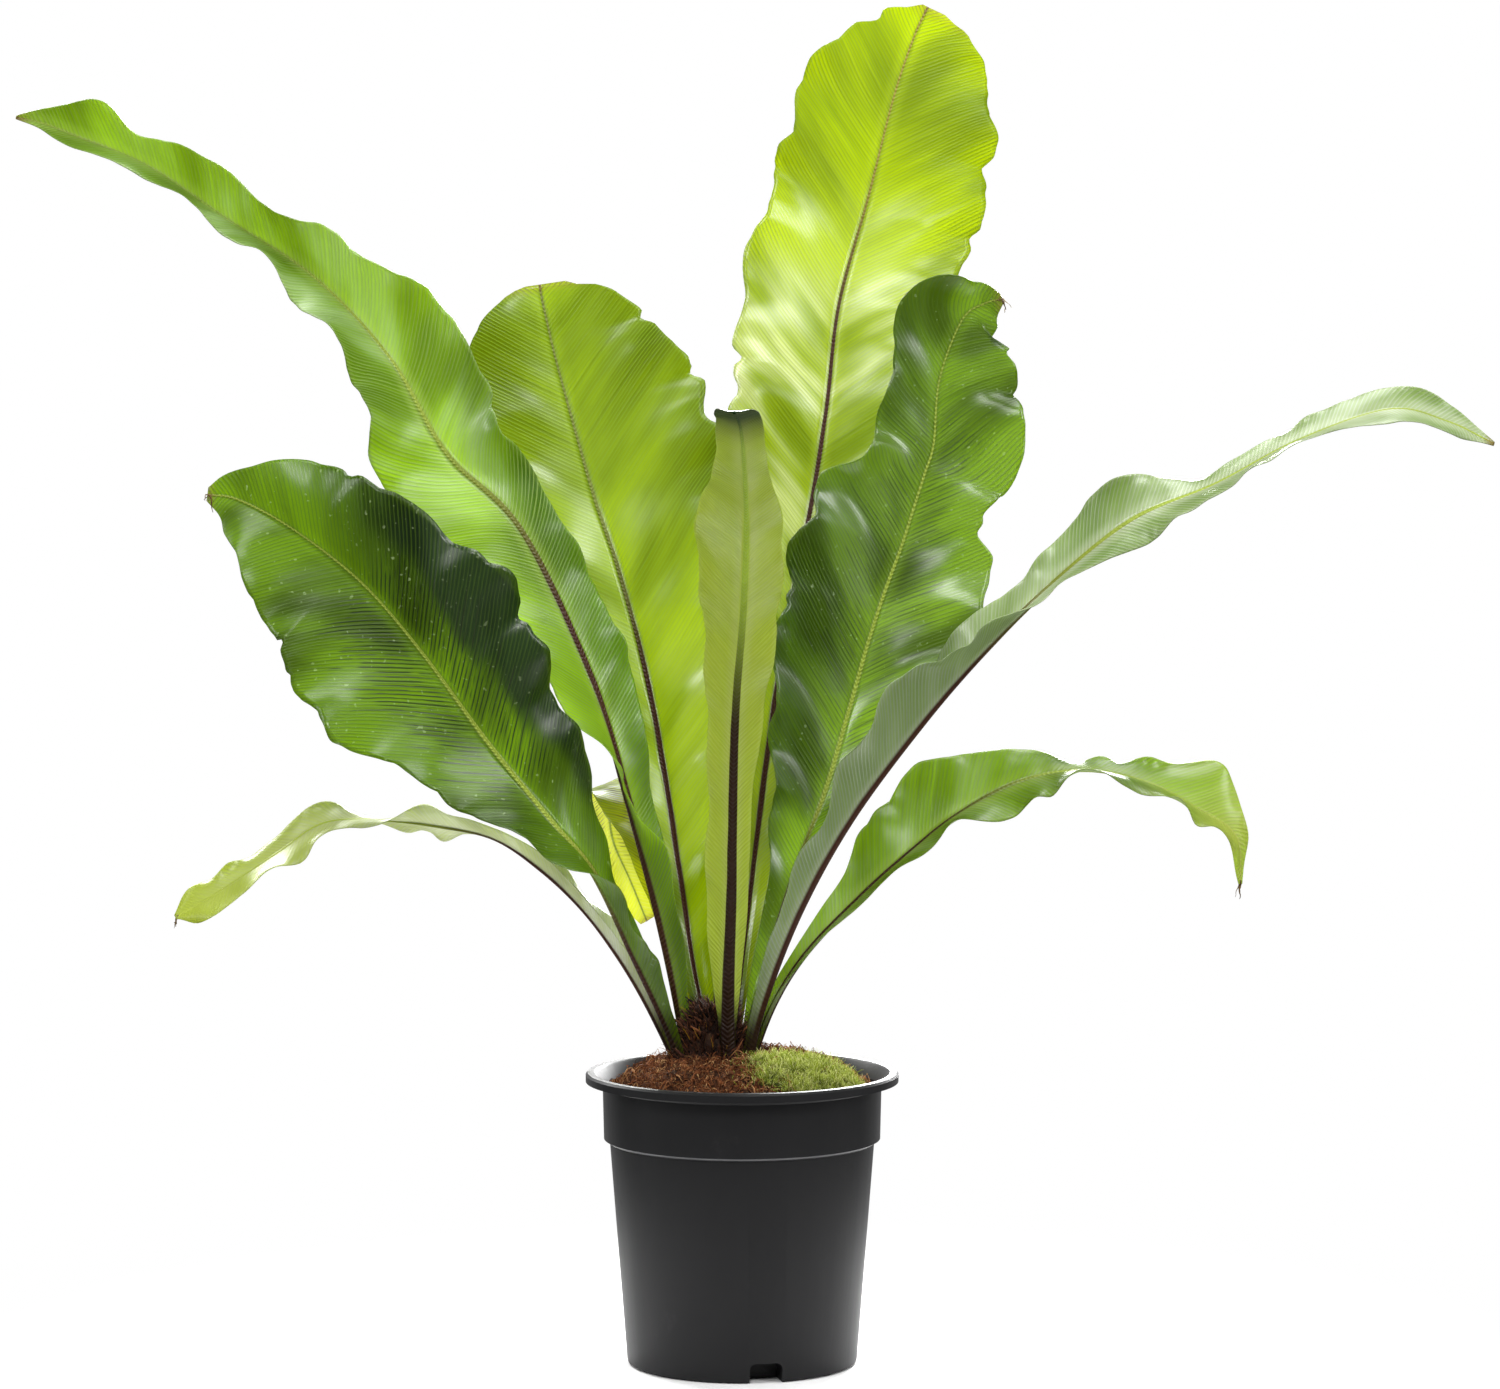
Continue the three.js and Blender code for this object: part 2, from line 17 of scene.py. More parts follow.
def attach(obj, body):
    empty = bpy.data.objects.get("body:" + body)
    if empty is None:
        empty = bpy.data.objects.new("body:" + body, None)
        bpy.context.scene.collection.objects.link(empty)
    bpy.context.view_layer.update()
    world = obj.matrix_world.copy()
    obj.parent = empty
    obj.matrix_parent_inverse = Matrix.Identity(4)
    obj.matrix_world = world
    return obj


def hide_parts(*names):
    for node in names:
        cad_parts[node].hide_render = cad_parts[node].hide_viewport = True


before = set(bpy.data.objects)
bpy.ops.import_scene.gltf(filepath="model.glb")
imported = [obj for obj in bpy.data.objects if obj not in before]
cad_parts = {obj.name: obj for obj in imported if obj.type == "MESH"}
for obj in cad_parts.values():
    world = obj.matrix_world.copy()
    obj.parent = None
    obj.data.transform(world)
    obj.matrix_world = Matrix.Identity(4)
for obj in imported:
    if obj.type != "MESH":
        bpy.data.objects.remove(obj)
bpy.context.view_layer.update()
MM = 0.001
print("nodes in the frame:", len(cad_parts))

# %% [markdown]
# Shader sums are easier to read as plain arithmetic than as a drawing of nodes. A Wire stands
# for one socket, and each sign used on it adds one Math node. A Finish is one material; its
# `node` method adds any other kind of node, with its settings first and its sockets after.

# %% Wires and finishes
class Wire:
    def __init__(self, socket):
        self.socket = socket

    def maths(self, operation, *values):
        return sum_node(self.socket.id_data, operation, self, *values)

    def __add__(self, other):
        return self.maths("ADD", other)

    def __sub__(self, other):
        return self.maths("SUBTRACT", other)

    def __mul__(self, other):
        return self.maths("MULTIPLY", other)

    def __rsub__(self, other):
        return sum_node(self.socket.id_data, "SUBTRACT", other, self)

    __radd__ = __add__
    __rmul__ = __mul__

    def __abs__(self):
        return self.maths("ABSOLUTE")

    def step(self, start, end):
        """0 before start, 1 after end, and a smooth rise between them"""
        tree = self.socket.id_data
        ramp = tree.nodes.new("ShaderNodeMapRange")
        ramp.interpolation_type = "SMOOTHSTEP"
        plug(ramp.inputs["Value"], self)
        plug(ramp.inputs["From Min"], start)
        plug(ramp.inputs["From Max"], end)
        return Wire(ramp.outputs["Result"])


def plug(entry, value):
    if isinstance(value, Wire):
        entry.id_data.links.new(value.socket, entry)
    else:
        entry.default_value = value


def sum_node(tree, operation, *values):
    node = tree.nodes.new("ShaderNodeMath")
    node.operation = operation
    for entry, value in zip(node.inputs, values):
        plug(entry, value)
    return Wire(node.outputs[0])


def tone(red, green, blue):
    """A colour as it is seen on a screen, 0 to 255, turned into the light that a shader works in"""
    light = []
    for level in (red, green, blue):
        c = level / 255
        light.append(c / 12.92 if c <= 0.04045 else ((c + 0.055) / 1.055) ** 2.4)
    return (*light, 1.0)


class Finish:
    def __init__(self, name):
        self.material = bpy.data.materials.new(name)
        self.material.use_nodes = True
        self.tree = self.material.node_tree
        self.tree.nodes.clear()

    def node(self, kind, settings=None, values=None, output=0):
        node = self.tree.nodes.new(kind)
        for key, value in (settings or {}).items():
            setattr(node, key, value)
        for key, value in (values or {}).items():
            plug(node.inputs[key], value)
        return Wire(node.outputs[output])

    def place(self):
        return self.node("ShaderNodeTexCoord", output="Object")

    def three(self, layer):
        """The three numbers that a piece carries at each point under this name"""
        return self.split(self.node("ShaderNodeAttribute", {"attribute_name": layer}, output="Vector"))

    def split(self, vector):
        parts = self.tree.nodes.new("ShaderNodeSeparateXYZ")
        plug(parts.inputs[0], vector)
        return [Wire(entry) for entry in parts.outputs]

    def stretched(self, place, scale):
        return self.node("ShaderNodeMapping", values={"Vector": place, "Scale": scale})

    def joined(self, x, y, z=0.0):
        return self.node("ShaderNodeCombineXYZ", values={"X": x, "Y": y, "Z": z})

    def cloud(self, place, scale, detail=2.0, rough=0.5):
        return self.node(
            "ShaderNodeTexNoise",
            values={"Vector": place, "Scale": scale, "Detail": detail, "Roughness": rough},
        )

    def mixed(self, amount, first, second):
        """Two colours mixed; 6 and 7 are the colour sockets of a Mix node"""
        values = {"Factor": amount, 6: first, 7: second}
        return self.node("ShaderNodeMix", {"data_type": "RGBA"}, values, output=2)

    def bump(self, height, distance, strength=1.0, under=None):
        values = {"Height": height, "Distance": distance, "Strength": strength}
        if under is not None:
            values["Normal"] = under
        return self.node("ShaderNodeBump", values=values)

    def surface(self, colour, roughness, normal=None, **extra):
        values = {"Base Color": colour, "Roughness": roughness}
        if normal is not None:
            values["Normal"] = normal
        values.update({key.replace("_", " "): value for key, value in extra.items()})
        return self.node("ShaderNodeBsdfPrincipled", values=values)

    def done(self, shader):
        output = self.tree.nodes.new("ShaderNodeOutputMaterial")
        plug(output.inputs["Surface"], shader)
        return self.material


# %% [markdown]
# Every piece is finished in the same way: its mesh gets its normals turned outwards, its
# materials, and smooth shading. It is hung under the root, and the plain solid that it stands
# for, if it has one, is hidden.

# %% Put a piece into the scene
def triangles(mesh):
    return sum(len(face.vertices) - 2 for face in mesh.polygons)


made = []


def piece(name, bm, finishes, node=None, sharp=None):
    bmesh.ops.recalc_face_normals(bm, faces=bm.faces)
    if bm.calc_volume(signed=True) < 0:
        bmesh.ops.reverse_faces(bm, faces=bm.faces)
    mesh = bpy.data.meshes.new(name)
    bm.to_mesh(mesh)
    bm.free()
    for finish in finishes:
        mesh.materials.append(finish)
    mesh.shade_smooth()
    if sharp:
        mesh.set_sharp_from_angle(angle=math.radians(sharp))
    thing = bpy.data.objects.new(name, mesh)
    bpy.context.scene.collection.objects.link(thing)
    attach(thing, "root")
    if node:
        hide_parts(node)
    made.append((name, triangles(mesh)))
    print(f"{name}: {made[-1][1]} triangles")
    return thing


def ease(value):
    t = min(1.0, max(0.0, value))
    return t * t * (3 - 2 * t)


def blend(start, end, amount):
    return start + (end - start) * amount


# %% [markdown]
# The nursery pot is thin moulded plastic: a tapered body, a step, a straighter band and a
# rolled lip. It is round, so one outline is spun about the upright axis, in millimetres. The
# corners of the foot and the lip are eased by short slanted runs in the outline itself, which
# costs a few points and needs no bevel.

# %% Spin the pot
GAP = 0.35
POT_HEIGHT = 196
RIM_RADIUS = 105
MOUTH_RADIUS = 98
FOOT_RADIUS = 77.4
BODY_RADIUS = 88.8
BAND_RADIUS = 93.6
BAND_FOOT = 149
WALL = 1.8
FLOOR = 2.4
LIP_DROP = 6
POT_STEPS = 144
INNER_WALL = [
    (BAND_RADIUS - WALL - 0.8, BAND_FOOT + 3.4),
    (BODY_RADIUS - WALL, BAND_FOOT + 0.9),
    (FOOT_RADIUS - WALL + 0.2, FLOOR),
]
POT_OUTLINE = [
    (0, 0),
    (FOOT_RADIUS - 2.2, 0),
    (FOOT_RADIUS - 0.6, 0.8),
    (FOOT_RADIUS, 2.6),
    (BODY_RADIUS, BAND_FOOT),
    (BAND_RADIUS - 0.8, BAND_FOOT + 2.5),
    (BAND_RADIUS, POT_HEIGHT - 9),
    (MOUTH_RADIUS - 0.8, POT_HEIGHT - 4.2),
    (RIM_RADIUS - 2, POT_HEIGHT - 4),
    (RIM_RADIUS - 1.6, POT_HEIGHT - LIP_DROP),
    (RIM_RADIUS, POT_HEIGHT - LIP_DROP),
    (RIM_RADIUS, POT_HEIGHT - 1.4),
    (RIM_RADIUS - 1.4, POT_HEIGHT),
    (MOUTH_RADIUS + 1.2, POT_HEIGHT),
    (MOUTH_RADIUS - 0.4, POT_HEIGHT - 1.2),
    (BAND_RADIUS - WALL + 0.3, POT_HEIGHT - 9.4),
    *INNER_WALL,
    (0, FLOOR),
]


def spun(outline, steps):
    """A closed solid turned from an outline of radii and heights in millimetres"""
    bm = bmesh.new()
    points = [bm.verts.new((r * MM, 0, z * MM)) for r, z in outline]
    edges = [bm.edges.new(two) for two in zip(points, points[1:])]
    bmesh.ops.spin(
        bm,
        geom=points + edges,
        axis=(0, 0, 1),
        cent=(0, 0, 0),
        angle=math.tau,
        steps=steps,
        use_merge=True,
    )
    bmesh.ops.remove_doubles(bm, verts=bm.verts, dist=1e-6)
    bmesh.ops.recalc_face_normals(bm, faces=bm.faces)
    return bm


def loose(name, bm):
    """A working object that is cut or joined with another and then thrown away"""
    mesh = bpy.data.meshes.new(name)
    bm.to_mesh(mesh)
    bm.free()
    thing = bpy.data.objects.new(name, mesh)
    bpy.context.scene.collection.objects.link(thing)
    return thing


def combine(base, tool, operation):
    """base joined with or cut by tool, as a new bmesh; both working objects are removed"""
    change = base.modifiers.new("combine", "BOOLEAN")
    change.operation = operation
    change.solver = "EXACT"
    change.object = tool
    bpy.context.view_layer.update()
    graph = bpy.context.evaluated_depsgraph_get()
    bm = bmesh.new()
    bm.from_object(base, graph)
    bmesh.ops.triangulate(bm, faces=bm.faces)
    for old in (base, tool):
        bpy.data.objects.remove(old)
    return bm


# %% [markdown]
# Three drain pockets are moulded into the foot. Each is a small box with its upper corners
# rounded. A box swollen by the wall's thickness is trimmed to the inside of the pot and joined to
# the shell. The same box at its true size is then taken away, which leaves a pocket with walls
# of its own.

# %% Cut the drain pockets
NOTCH_ANGLES = [-78, 42, 162]
NOTCH_WIDTH = 22
NOTCH_HEIGHT = 13
NOTCH_DEPTH = 19
NOTCH_CORNER = 4
PAST_WALL = 25


def pocket_bars(grow, reach):
    """A bar for each pocket, `grow` larger all round and `reach` long, in millimetres"""
    bm = bmesh.new()
    for angle in NOTCH_ANGLES:
        block = bmesh.ops.create_cube(bm, size=1)["verts"]
        width = NOTCH_WIDTH + 2 * grow
        top = NOTCH_HEIGHT + grow
        bmesh.ops.scale(bm, verts=block, vec=(reach * MM, width * MM, (top + 1) * MM))
        middle = (FOOT_RADIUS - NOTCH_DEPTH - grow + reach / 2) * MM
        bmesh.ops.translate(bm, verts=block, vec=(middle, 0, (top - 1) / 2 * MM))
        high = [
            edge
            for edge in bm.edges
            if edge.verts[0] in block
            and all(v.co.z > 0.005 for v in edge.verts)
            and abs(edge.verts[0].co.x - edge.verts[1].co.x) > 0.01
        ]
        rounded = bmesh.ops.bevel(
            bm,
            geom=high,
            offset=NOTCH_CORNER * MM,
            offset_type="OFFSET",
            affect="EDGES",
            segments=5,
            profile=0.5,
            material=-1,
        )
        block = list({v for v in block if v.is_valid} | set(rounded["verts"]))
        turn = [math.cos(math.radians(angle)), math.sin(math.radians(angle))]
        for v in block:
            x, y = v.co.x, v.co.y
            v.co.x = x * turn[0] - y * turn[1]
            v.co.y = x * turn[1] + y * turn[0]
    return bm


core_outline = [(0, 0), (FOOT_RADIUS - 1, 0), (BODY_RADIUS - 1, BAND_FOOT), (0, BAND_FOOT)]
shell = loose("shell", spun(POT_OUTLINE, POT_STEPS))
core = loose("core", spun(core_outline, POT_STEPS))
walls = combine(loose("walls", pocket_bars(WALL, NOTCH_DEPTH + WALL)), core, "INTERSECT")
joined = combine(shell, loose("walls", walls), "UNION")
cutters = loose("cut", pocket_bars(0, PAST_WALL))
pot_mesh = combine(loose("pot", joined), cutters, "DIFFERENCE")
print("pot faces:", len(pot_mesh.faces))

# %% [markdown]
# Black polypropylene is a satin plastic. Up close its gloss isn't even: the mould leaves faint
# upright streaks, which change the roughness and a very shallow bump. Handling leaves a few
# paler rubs. The thin grey line round the pot at the edge of the step is a painted highlight.

# %% Satin black plastic
def pot_finish():
    finish = Finish("pot_plastic")
    place = finish.place()
    streaks = finish.cloud(finish.stretched(place, (60, 60, 3)), 1.0, 3.0, 0.6)
    grain = finish.cloud(place, 900.0, 2.0, 0.6)
    rubs = finish.cloud(place, 26.0, 6.0, 0.7).step(0.62, 0.78)
    colour = finish.mixed(rubs * 0.3, tone(30, 30, 31), tone(58, 58, 58))
    height = finish.split(place)[2]
    # painted highlight: a thin grey line of light along the edge of the step
    painted_step_highlight = abs(height - (BAND_FOOT + 1.6) * MM).step(0.0011, 0.0002)
    colour = finish.mixed(painted_step_highlight * (0.35 + streaks * 0.5), colour, tone(132, 132, 134))
    roughness = 0.38 + streaks * 0.12 + rubs * 0.12
    normal = finish.bump(grain, 0.00006, 0.5)
    normal = finish.bump(streaks, 0.0004, 0.35, normal)
    return finish.done(finish.surface(colour, roughness, normal, Specular_IOR_Level=0.14))


piece("pot_shell", pot_mesh, [pot_finish()], "pot", sharp=32)

# %% [markdown]
# The soil is coarse coir that mounds up round the crown and falls towards the rim. Its body is
# again one spun outline; the points of its top are then lifted to a height that a formula gives
# for every place. The loose fibres on top use the same formula, so they lie on the mound.

# %% Heap the soil
SOIL_EDGE = INNER_WALL[0][0] - GAP
SOIL_RINGS = 60
SOIL_STEPS = 200
SOIL_TOP = 208
SOIL_DROP = 13
LEFT_DROP = 5
RIGHT_DROP = 5.5


def soil_height(x, y):
    """Height of the mound in millimetres"""
    reach = math.hypot(x, y) / SOIL_EDGE
    lean = max(0.0, -x / SOIL_EDGE)
    coarse = 1.3 * math.sin(x * 0.31 + 0.7) * math.sin(y * 0.37 + 1.9)
    crumbs = coarse + 0.8 * math.sin(x * 0.73 + y * 0.51)
    mound = SOIL_TOP - SOIL_DROP * reach**2.4 - LEFT_DROP * lean**2
    mound -= RIGHT_DROP * max(0.0, x / SOIL_EDGE) ** 2
    mound -= (7.5 + 4 * y / SOIL_EDGE) * ease((reach - 0.66) / 0.34)
    return mound + crumbs * ease((reach - 0.2) / 0.2)


def clods(x, y):
    """Fine unevenness of the coir, in millimetres"""
    lumps = noise.noise(Vector((x * 0.11, y * 0.11, 0.3)))
    grit = noise.noise(Vector((x * 0.45, y * 0.45, 4.0)))
    return 2.6 * lumps + 1.6 * grit


wall = [(r - GAP, z + GAP) for r, z in INNER_WALL]
top = [(SOIL_EDGE * k / SOIL_RINGS, POT_HEIGHT + 4) for k in range(SOIL_RINGS + 1)]
soil_mesh = spun([*top, *wall[1:], (0, FLOOR + GAP)], SOIL_STEPS)
for v in soil_mesh.verts:
    if v.co.z > POT_HEIGHT * MM:
        x, y = v.co.x / MM, v.co.y / MM
        v.co.z = (soil_height(x, y) + clods(x, y) - 0.6) * MM
pockets = loose("soil_pockets", pocket_bars(WALL + GAP, PAST_WALL + WALL))
soil_mesh = combine(loose("soil", soil_mesh), pockets, "DIFFERENCE")

# %% [markdown]
# Coir is the reddish brown fibre of coconut husk, and it never shows one flat colour: dark wet
# hollows, rusty strands and a few straw-coloured ends. Two sizes of noise mix three browns.

# %% Coir
def coir_finish(name, dark, rust, straw, loose=False):
    finish = Finish(name)
    place = finish.place()
    patches = finish.cloud(place, 60.0, 3.0, 0.6).step(0.35, 0.7)
    strands = finish.cloud(finish.stretched(place, (500, 500, 260)), 1.0, 2.0, 0.5)
    pale = strands.step(0.56, 0.72) * 0.7
    if loose:
        own = finish.three("shade")[0]
        patches = patches * 0.3 + own.step(0.1, 0.7)
        pale = own.step(0.75, 1.0) * 0.9
    colour = finish.mixed(patches, dark, rust)
    colour = finish.mixed(pale, colour, straw)
    normal = finish.bump(strands, 0.001, 0.8)
    return finish.done(finish.surface(colour, 0.9, normal, Specular_IOR_Level=0.2))


coir = coir_finish("coir_bed", tone(44, 26, 15), tone(96, 58, 34), tone(140, 98, 60))
piece("soil_mound", soil_mesh, [coir], "soil")

# %% [markdown]
# Thousands of loose fibres are needed, so one short straight fibre is made and doubled until
# there are enough in a row. Each copy knows its own number by where it stands in that row, and
# is then laid out along a curly path of its own. A fibre has three sides and five joints.

# %% A row of copies
def row_of_copies(bm, count, pitch):
    """Doubles what bm holds until `count` copies stand along X, `pitch` apart"""
    standing = 1
    while standing < count:
        taken = min(standing, count - standing)
        geometry = [v for v in bm.verts if v.co.x < (taken - 0.5) * pitch]
        chosen = set(geometry)
        geometry += [e for e in bm.edges if e.verts[0] in chosen]
        geometry += [f for f in bm.faces if f.verts[0] in chosen]
        copy = bmesh.ops.duplicate(bm, geom=geometry)["geom"]
        moved = [g for g in copy if isinstance(g, bmesh.types.BMVert)]
        bmesh.ops.translate(bm, verts=moved, vec=(standing * pitch, 0, 0))
        standing += taken


PITCH = 10.0


def strand_row(count, joints, sides=3):
    """Straight strands along Z in a row; a point's Z is its joint, and X and Y place it round it"""
    bm = bmesh.new()
    bm.verts.layers.float_vector.new("shade")
    ring = bmesh.ops.create_circle(bm, cap_ends=False, radius=1, segments=sides)["verts"]
    edges = list(bm.edges)
    first = list(ring)
    for _ in range(joints):
        grown = bmesh.ops.extrude_edge_only(bm, edges=edges)["geom"]
        points = [g for g in grown if isinstance(g, bmesh.types.BMVert)]
        bmesh.ops.translate(bm, verts=points, vec=(0, 0, 1))
        edges = [e for e in bm.edges if e.verts[0] in points and e.verts[1] in points]
    bmesh.ops.contextual_create(bm, geom=points)
    bmesh.ops.contextual_create(bm, geom=first)
    row_of_copies(bm, count, PITCH)
    return bm


def lay_strands(bm, paths, widths, joints, tip=0.35):
    """Moves each strand of the row onto its path of joints + 1 points, in millimetres"""
    shade = bm.verts.layers.float_vector["shade"]
    for v in bm.verts:
        number = round(v.co.x / PITCH)
        joint = round(v.co.z)
        path = paths[number]
        here = path[joint]
        ahead = path[min(joint + 1, joints)] - path[max(joint - 1, 0)]
        ahead.normalize()
        side = ahead.orthogonal().normalized()
        up = ahead.cross(side)
        thick = widths[number] * blend(1.0, tip, joint / joints)
        x = v.co.x - number * PITCH
        v.co = (here + side * x * thick + up * v.co.y * thick) * MM
        v[shade] = (number * 0.618 % 1, joint / joints, 0)


def strand_coat(seed, count, joints, path, width, sides=3, flat=1.0, tip=0.35):
    """Draws all paths and then all widths from one seed, and lays a strand on each path"""
    dice = random.Random(seed)
    paths = [path(dice, joints) for _ in range(count)]
    widths = [width(dice) for _ in range(count)]
    bm = strand_row(count, joints, sides)
    for v in bm.verts:
        v.co.y *= flat
    lay_strands(bm, paths, widths, joints, tip)
    return bm


# %% [markdown]
# A fibre starts somewhere on the mound, wanders with a steady curl, and arches a little off the
# bed. More of them stand at the rim on the left, where the coir has dried and sprung up.

# %% Scatter the coir fibres
def fibre_path(dice, joints):
    spread = dice.random() ** 0.5 * (SOIL_EDGE - 3)
    turn = dice.uniform(0, math.tau)
    x, y = spread * math.cos(turn), spread * math.sin(turn)
    heading = dice.uniform(0, math.tau)
    curl = dice.gauss(0, 0.65)
    length = dice.uniform(5, 17)
    lift = abs(dice.gauss(0, 2.0)) + (2.5 if x < -55 and dice.random() < 0.35 else 0)
    path = []
    for joint in range(joints + 1):
        height = soil_height(x, y) + clods(x, y) + lift * math.sin(math.pi * joint / joints)
        path.append(Vector((x, y, height + 0.2)))
        stride = length / joints
        x += stride * math.cos(heading)
        y += stride * math.sin(heading)
        heading += curl + dice.gauss(0, 0.25)
        out = math.hypot(x, y)
        if out > SOIL_EDGE - 1.5:
            x *= (SOIL_EDGE - 1.5) / out
            y *= (SOIL_EDGE - 1.5) / out
    return path


def fibre_width(dice):
    return dice.uniform(0.14, 0.36) if dice.random() < 0.7 else dice.uniform(0.4, 0.8)


FIBRES = 4800
fibres = strand_coat(11, FIBRES, 5, fibre_path, fibre_width)
loose_coir = coir_finish("coir_fibre", tone(58, 32, 18), tone(140, 84, 48), tone(206, 160, 108), True)
piece("coir_fibres", fibres, [loose_coir])

# %% [markdown]
# Sphagnum-like moss has crept over the coir at the front right. It is a low ragged cushion with
# a coat of short curled shoots. The cushion is a spun disc that is pulled out of round; the
# shoots are the same strands as the coir, shorter, upright and paler at their tips.

# %% Grow the moss
MOSS_X = 50
MOSS_Y = -46
MOSS_LONG = 43
MOSS_WIDE = 38


def moss_spot(u, v):
    angle = math.atan2(v, u)
    ragged = 1 + 0.1 * math.sin(5 * angle + 1) + 0.06 * math.sin(9 * angle)
    return MOSS_X + MOSS_LONG * u * ragged, MOSS_Y + MOSS_WIDE * v * ragged


def moss_top(x, y, w):
    tuft = 1 + 0.25 * math.sin(x * 0.5) * math.cos(y * 0.6)
    return soil_height(x, y) + 0.5 + w * 3.0 * tuft


def drawn_in(x, y):
    """Keeps a point inside the pot's wall"""
    out = math.hypot(x, y)
    share = min(1.0, (SOIL_EDGE - 1) / out)
    return x * share, y * share


# spun() takes millimetres, so 1000 gives a disc with a radius and a height of 1
cushion_foot = [(0, 0), (500, 0), (970, 0), (1000, 250)]
cushion_crest = [(930, 560), (800, 800), (500, 940), (250, 985), (0, 1000)]
moss_mesh = spun([*cushion_foot, *cushion_crest], 60)
bmesh.ops.subdivide_edges(moss_mesh, edges=moss_mesh.edges, cuts=1, use_grid_fill=True)
for v in moss_mesh.verts:
    x, y = drawn_in(*moss_spot(v.co.x, v.co.y))
    v.co = Vector((x, y, moss_top(x, y, v.co.z) + 0.5 * clods(x * 3, y * 3) * v.co.z)) * MM


def moss_finish(name, dark, mid, light, loose=False):
    finish = Finish(name)
    place = finish.place()
    patches = finish.cloud(place, 90.0, 3.0, 0.6).step(0.35, 0.65)
    specks = finish.cloud(place, 420.0, 2.0, 0.6)
    bright = specks.step(0.5, 0.7)
    if loose:
        own, height, _ = finish.three("shade")
        patches = patches * 0.4 + height.step(0.2, 0.8) * 0.8
        bright = own.step(0.4, 1.0) * height
    colour = finish.mixed(patches, dark, mid)
    colour = finish.mixed(bright, colour, light)
    normal = finish.bump(specks, 0.0012, 0.8)
    return finish.done(finish.surface(colour, 0.85, normal, Specular_IOR_Level=0.2))


cushion = moss_finish("moss_cushion", tone(46, 52, 14), tone(90, 102, 28), tone(140, 150, 56))
piece("moss_cushion", moss_mesh, [cushion], "moss")

SHOOTS = 7600


def shoot_path(dice, joints):
    while True:
        u, v = dice.uniform(-1.5, 1.5), dice.uniform(-1.3, 1.3)
        x, y = moss_spot(u, v)
        out = math.hypot(u, v)
        kept = out < 1 or dice.random() < 0.25 * (1.5 - out)
        if kept and math.hypot(x, y) < SOIL_EDGE - 2:
            break
    inner = max(0.0, 1 - out**4)
    foot = Vector((x, y, moss_top(x, y, 0.9 * inner) - 0.8))
    lean = Vector((dice.gauss(0, 0.45), dice.gauss(0, 0.45), 1)).normalized()
    bend = Vector((dice.gauss(0, 1), dice.gauss(0, 1), -0.4)) * 1.5
    tufts = 0.5 + 1.2 * noise.noise(Vector((x * 0.14, y * 0.14, 2.0)))
    length = dice.uniform(2.5, 7) * max(0.4, 0.7 + 0.8 * tufts)
    path = []
    for joint in range(joints + 1):
        share = joint / joints
        point = foot + lean * length * share + bend * share * share
        path.append(Vector((*drawn_in(point.x, point.y), point.z)))
    return path


def shoot_width(dice):
    return dice.uniform(0.12, 0.28)


shoots = strand_coat(23, SHOOTS, 3, shoot_path, shoot_width)
fresh = moss_finish("moss_shoot", tone(66, 80, 20), tone(160, 176, 56), tone(234, 232, 156), True)
piece("moss_shoots", shoots, [fresh])

# %% [markdown]
# The crown is the short upright stem that every frond grows from. It is wrapped in dark, papery
# scales that point up and out, and at the front there are stubs of old fronds. A lump of the
# right shape carries the scales, each of them a flat blade with four faces round it.

# %% Build the crown
CROWN_X = -18
CROWN_Y = 0
CROWN_FLAT = 0.82
CROWN_OUTLINE = [
    (0, 176),
    (24, 178),
    (30, 187),
    (31, 197),
    (26, 206),
    (21.5, 212),
    (19.5, 219),
    (16, 227),
    (10, 236),
    (0, 241),
]


def crown_place(radius, turn, height):
    lift = ease((height - 200) / 50)
    x = radius * math.cos(turn) + CROWN_X - 2 * lift
    y = radius * math.sin(turn) * CROWN_FLAT + CROWN_Y + 3 * lift
    return Vector((x, y, height))


def crown_radius(height):
    for (r0, z0), (r1, z1) in zip(CROWN_OUTLINE, CROWN_OUTLINE[1:]):
        if z0 <= height <= z1:
            return blend(r0, r1, (height - z0) / (z1 - z0))
    return 0.0


crown_mesh = spun(CROWN_OUTLINE, 48)
bmesh.ops.subdivide_edges(crown_mesh, edges=crown_mesh.edges, cuts=2, use_grid_fill=True)
for v in crown_mesh.verts:
    x, y, z = v.co / MM
    rough = 1 + 0.06 * noise.noise(Vector((x, y, z)) * 0.35)
    v.co = crown_place(math.hypot(x, y) * rough, math.atan2(y, x), z) * MM

STUBS = [(-22, -16, 224, 2.6), (-16.5, -18, 220, 2.2), (-28, -13, 217, 2.4)]
STUB_FOOT = 200
for x, y, top_height, radius in STUBS:
    tall = top_height - STUB_FOOT
    post = bmesh.ops.create_cone(
        crown_mesh,
        cap_ends=True,
        segments=14,
        radius1=radius * 1.3 * MM,
        radius2=radius * MM,
        depth=tall * MM,
    )["verts"]
    bmesh.ops.translate(crown_mesh, verts=post, vec=(x * MM, y * MM, (STUB_FOOT + tall / 2) * MM))
    upper = {v for v in post if v.co.z > (top_height - 1) * MM}
    ends = [f for f in crown_mesh.faces if all(v in upper for v in f.verts)]
    bmesh.ops.inset_region(crown_mesh, faces=ends, thickness=0.6 * MM, depth=-0.5 * MM)


